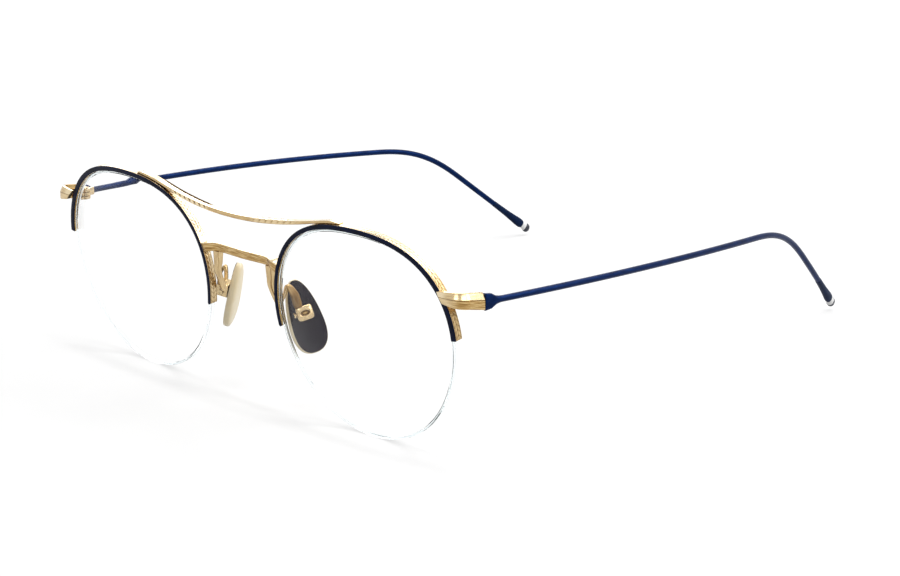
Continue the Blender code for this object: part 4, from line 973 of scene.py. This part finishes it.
def temple_path():
    """The left temple's middle line, from inside the endpiece to the tip, with an even bend at the rear."""
    points = [on_front(ENDPIECE_ANGLE) + (np.array(ENDPIECE_END) + np.array(TEMPLE_START)) * MM]
    length = TEMPLE_LENGTH / TEMPLE_STEPS
    bend_start = TEMPLE_LENGTH - TEMPLE_BEND_START
    bend_length = TEMPLE_BEND_START - TEMPLE_BEND_END
    for step in range(TEMPLE_STEPS):
        distance = (step + 0.5) * length
        straight = min(distance / bend_start, 1.0)
        t = min(max((distance - bend_start) / bend_length, 0.0), 1.0)
        bend = t * t * (3 - 2 * t)
        slope = TEMPLE_SLOPES[0] + (TEMPLE_SLOPES[1] - TEMPLE_SLOPES[0]) * straight
        slope += (TEMPLE_SLOPES[2] - slope) * bend
        rear = max(distance - bend_start, 0.0) / TEMPLE_BEND_START
        toe = TEMPLE_TOES[0] + (TEMPLE_TOES[1] - TEMPLE_TOES[0]) * straight
        toe += (TEMPLE_TOES[2] - TEMPLE_TOES[1]) * rear
        level = math.cos(slope) * length
        ahead = np.array([math.sin(toe) * level, math.cos(toe) * level, -math.sin(slope) * length])
        points.append(points[-1] + ahead)
    return np.array(points)


def add_temple_piece(label, side, names, look, distances, stages, power=2.2, count=28, sharp=50.0, slant=0.0):
    """A piece round the temple's line, from its stages as (distance, half thickness, half height) in mm."""
    stops, wide, high = np.array(stages).T
    path = at_distances(temple_path(), distances * MM)
    half_sizes = (np.interp(distances, stops, values) * MM for values in (wide, high))
    rings = sweep(path, (1.0, 0.0, 0.0), oval(*half_sizes, power, count), slant)
    item = skin(label + names[0], rings, side, sharp=sharp)
    dress(item, look, look, label + "_temple", label + names[1])


def build_temple(label, side):
    start = (TEMPLE_LENGTH - TIP_LENGTH) / MM
    stop = (TEMPLE_LENGTH - TIP_CAP - TIP_BAND) / MM
    cap = (TEMPLE_LENGTH - TIP_CAP) / MM

    rear = (TEMPLE_LENGTH - TIP_LENGTH + 0.3 * MM) / MM
    distances = np.r_[0.6, 0.66, np.linspace(0.74, 5.2, 24), np.linspace(5.2, rear, 150)[1:]]
    power = np.interp(distances, [stage[0] for stage in BLOCK_STAGES], BLOCK_POWERS)
    names = ("_temple_wire", "_temple")
    add_temple_piece(label, side, names, "navy", distances, BLOCK_STAGES, power, 32, 40.0)

    stages = [
        (start, 0.69, 0.69), (start + 0.12, 0.71, 0.71), (start + 3.0, 0.76, 0.76), (stop - 6.0, 0.78, 0.84),
        (stop - 4.0, 0.80, 0.97), (stop - 2.0, 0.84, 1.13), (stop - 0.9, 0.82, 1.12),
        (stop - 0.45, 0.74, 1.00), (stop - 0.15, 0.58, 0.76), (stop, 0.42, 0.52),
    ]
    distances = np.r_[np.linspace(start, start + 0.12, 4), np.linspace(start + 0.2, stop - 2.0, 60),
                      np.linspace(stop - 1.95, stop, 24)]
    add_temple_piece(label, side, ("_temple_sleeve", "_temple_tip"), "tip", distances, stages)

    distances = np.linspace(stop - 0.35, cap + 0.15, 12)
    stages = [(stop, 0.66, 0.86), (cap, 0.80, 1.08)]
    add_temple_piece(label, side, ("_tip_band_white", "_tip_band"), "band", distances, stages)

    stages = [
        (cap, 0.78, 1.06), (cap + 0.12, 0.86, 1.16), (cap + 0.75, 0.84, 1.12), (cap + 1.15, 0.7, 0.92),
        (cap + 1.45, 0.42, 0.55), (cap + 1.58, 0.12, 0.16),
    ]
    distances = np.r_[np.linspace(cap, cap + 0.12, 3), np.linspace(cap + 0.2, cap + 1.58, 16)]
    names = ("_tip_cap_round", "_tip_cap")
    add_temple_piece(label, side, names, "cap", distances, stages, sharp=60.0, slant=0.22)


PAIRED_PIECES = (build_lens, build_lens_cord, build_rim, build_enamel, build_pad, build_pad_arm,
                 build_pad_box, build_endpiece, build_temple)
for label, side in SIDES.items():
    for build in PAIRED_PIECES:
        build(label, side)
build_brow_bar()
build_bridge()


def repaint(node_name, material):
    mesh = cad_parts[node_name].data
    mesh.materials.clear()
    mesh.materials.append(material)


for label in SIDES:
    for part in ("hinge_front", "hinge_temple", "hinge_screw", "pad_screw"):
        repaint(f"{label}_{part}", LOOKS["gold_node"])
    repaint(label + "_rim_liner", LOOKS["nylon_node"])


# Camera at the photo's place
CAMERA_PLACE = Vector((0.37487, -0.393815, 0.16963))
CAMERA_AZIMUTH = math.radians(44.14)
CAMERA_ELEVATION = math.radians(16.31)
FOCAL_PIXELS = 2446.0
PHOTO_WIDTH = 900
SENSOR = 36.0


def add_camera():
    back = Vector((math.sin(CAMERA_AZIMUTH) * math.cos(CAMERA_ELEVATION),
                   -math.cos(CAMERA_AZIMUTH) * math.cos(CAMERA_ELEVATION), math.sin(CAMERA_ELEVATION)))
    right = Vector((0, 0, 1)).cross(back).normalized()
    up = back.cross(right)
    matrix = Matrix((right, up, back)).transposed().to_4x4()
    matrix.translation = CAMERA_PLACE
    data = bpy.data.cameras.new("camera")
    data.sensor_width = SENSOR
    data.lens = FOCAL_PIXELS / PHOTO_WIDTH * SENSOR
    data.clip_start = 0.01
    camera = bpy.data.objects.new("camera", data)
    bpy.context.scene.collection.objects.link(camera)
    camera.matrix_world = matrix
    bpy.context.scene.camera = camera


add_camera()


# Pale floor, studio sky and lamps
FLOOR_HALF = 3.0
FLOOR_NEAR = 0.52
FLOOR_FAR = 0.16
FLOOR_POOL = (0.13, 0.30)
FLOOR_LIFT = 0.49
LIT_LEVEL = 1.42
SKY_SIDE = 0.20
SKY_TOP = 0.30


# Lamps as (name, place, aim, size, watts)
GLASSES_MIDDLE = (0.0, 0.0, 0.02)
LAMPS = [
    ("lamp_top", (-0.09, 0.20, 0.54), GLASSES_MIDDLE, (0.30, 0.24), 0.4),
    ("lamp_over", (0.0, -0.05, 0.62), (0.0, -0.05, 0.0), (0.40, 0.05), 0.8),
    ("lamp_back_left", (-0.82, 0.57, 0.44), GLASSES_MIDDLE, (0.72, 0.40), 3.6),
    ("lamp_back_high", (0.25, 0.51, 0.76), GLASSES_MIDDLE, (0.58, 0.36), 2.6),
    ("lamp_back_right", (0.69, 0.55, 0.47), GLASSES_MIDDLE, (0.44, 0.36), 1.9),
    ("lamp_front", (0.30, -0.60, 0.45), (0.0, -0.06, 0.02), (0.30, 0.20), 0.6),
    ("lamp_side", (0.64, -0.02, 0.35), GLASSES_MIDDLE, (0.46, 0.26), 1.2),
]


def seen_as_background(tree):
    """1 for what the camera, metal and glass see, and 0 for light that falls on a surface."""
    path = node(tree, "LightPath")
    seen = path.outputs["Is Camera Ray"]
    for kind in ("Is Transmission Ray", "Is Glossy Ray"):
        seen = maths(tree, "ADD", seen, path.outputs[kind], clamp=True)
    return seen


def add_floor():
    """Pale floor, lit in a pool round the glasses and seen as white beyond it."""
    mesh = bpy.data.meshes.new("floor")
    h = FLOOR_HALF
    mesh.from_pydata([(-h, -h, 0), (h, -h, 0), (h, h, 0), (-h, h, 0)], [], [(0, 1, 2, 3)])
    floor = bpy.data.objects.new("floor", mesh)
    bpy.context.scene.collection.objects.link(floor)
    material = bpy.data.materials.new("floor_pale")
    material.use_nodes = True
    tree = material.node_tree
    tree.nodes.clear()
    place = node(tree, "TexCoord").outputs["Object"]
    distance = node(tree, "VectorMath", {0: place}, operation="LENGTH").outputs["Value"]
    fade = node(tree, "MapRange", {0: distance, 1: FLOOR_POOL[0], 2: FLOOR_POOL[1]},
                interpolation_type="SMOOTHSTEP").outputs[0]
    tone = node(tree, "MapRange", {0: fade, 3: FLOOR_NEAR, 4: FLOOR_FAR}).outputs[0]
    missing = maths(tree, "MULTIPLY", maths(tree, "SUBTRACT", FLOOR_NEAR, tone), LIT_LEVEL)
    glow = maths(tree, "MULTIPLY", seen_as_background(tree), maths(tree, "ADD", missing, FLOOR_LIFT))
    base = node(tree, "BsdfDiffuse", {"Color": tone})
    light = node(tree, "Emission", {"Color": (1.0, 1.0, 1.0, 1.0), "Strength": glow})
    both = node(tree, "AddShader", {0: base.outputs["BSDF"], 1: light.outputs["Emission"]})
    output = node(tree, "OutputMaterial")
    tree.links.new(both.outputs["Shader"], output.inputs["Surface"])
    mesh.materials.append(material)


def add_sky():
    """Soft sky light, seen as a plain white background."""
    world = bpy.data.worlds.new("studio")
    bpy.context.scene.world = world
    world.use_nodes = True
    tree = world.node_tree
    tree.nodes.clear()
    direction = node(tree, "TexCoord").outputs["Generated"]
    height = node(tree, "SeparateXYZ", {"Vector": direction}).outputs["Z"]
    sky = node(tree, "MapRange", {0: height, 1: 0.0, 2: 1.0, 3: SKY_SIDE, 4: SKY_TOP},
               interpolation_type="SMOOTHSTEP").outputs[0]
    strength = node(tree, "Mix", {0: seen_as_background(tree), 2: sky, 3: 1.0}, data_type="FLOAT").outputs[0]
    background = node(tree, "Background", {"Color": (1.0, 1.0, 1.0, 1.0), "Strength": strength})
    output = node(tree, "OutputWorld")
    tree.links.new(background.outputs["Background"], output.inputs["Surface"])


def add_lamp(name, place, aim, size, watts):
    data = bpy.data.lights.new(name, "AREA")
    data.shape = "RECTANGLE"
    data.size, data.size_y = size
    data.energy = watts
    lamp = bpy.data.objects.new(name, data)
    bpy.context.scene.collection.objects.link(lamp)
    lamp.location = place
    lamp.visible_camera = False
    lamp.rotation_euler = (Vector(place) - Vector(aim)).to_track_quat("Z", "Y").to_euler()


add_floor()
add_sky()
bpy.context.scene.view_settings.view_transform = "Standard"
for lamp in LAMPS:
    add_lamp(*lamp)
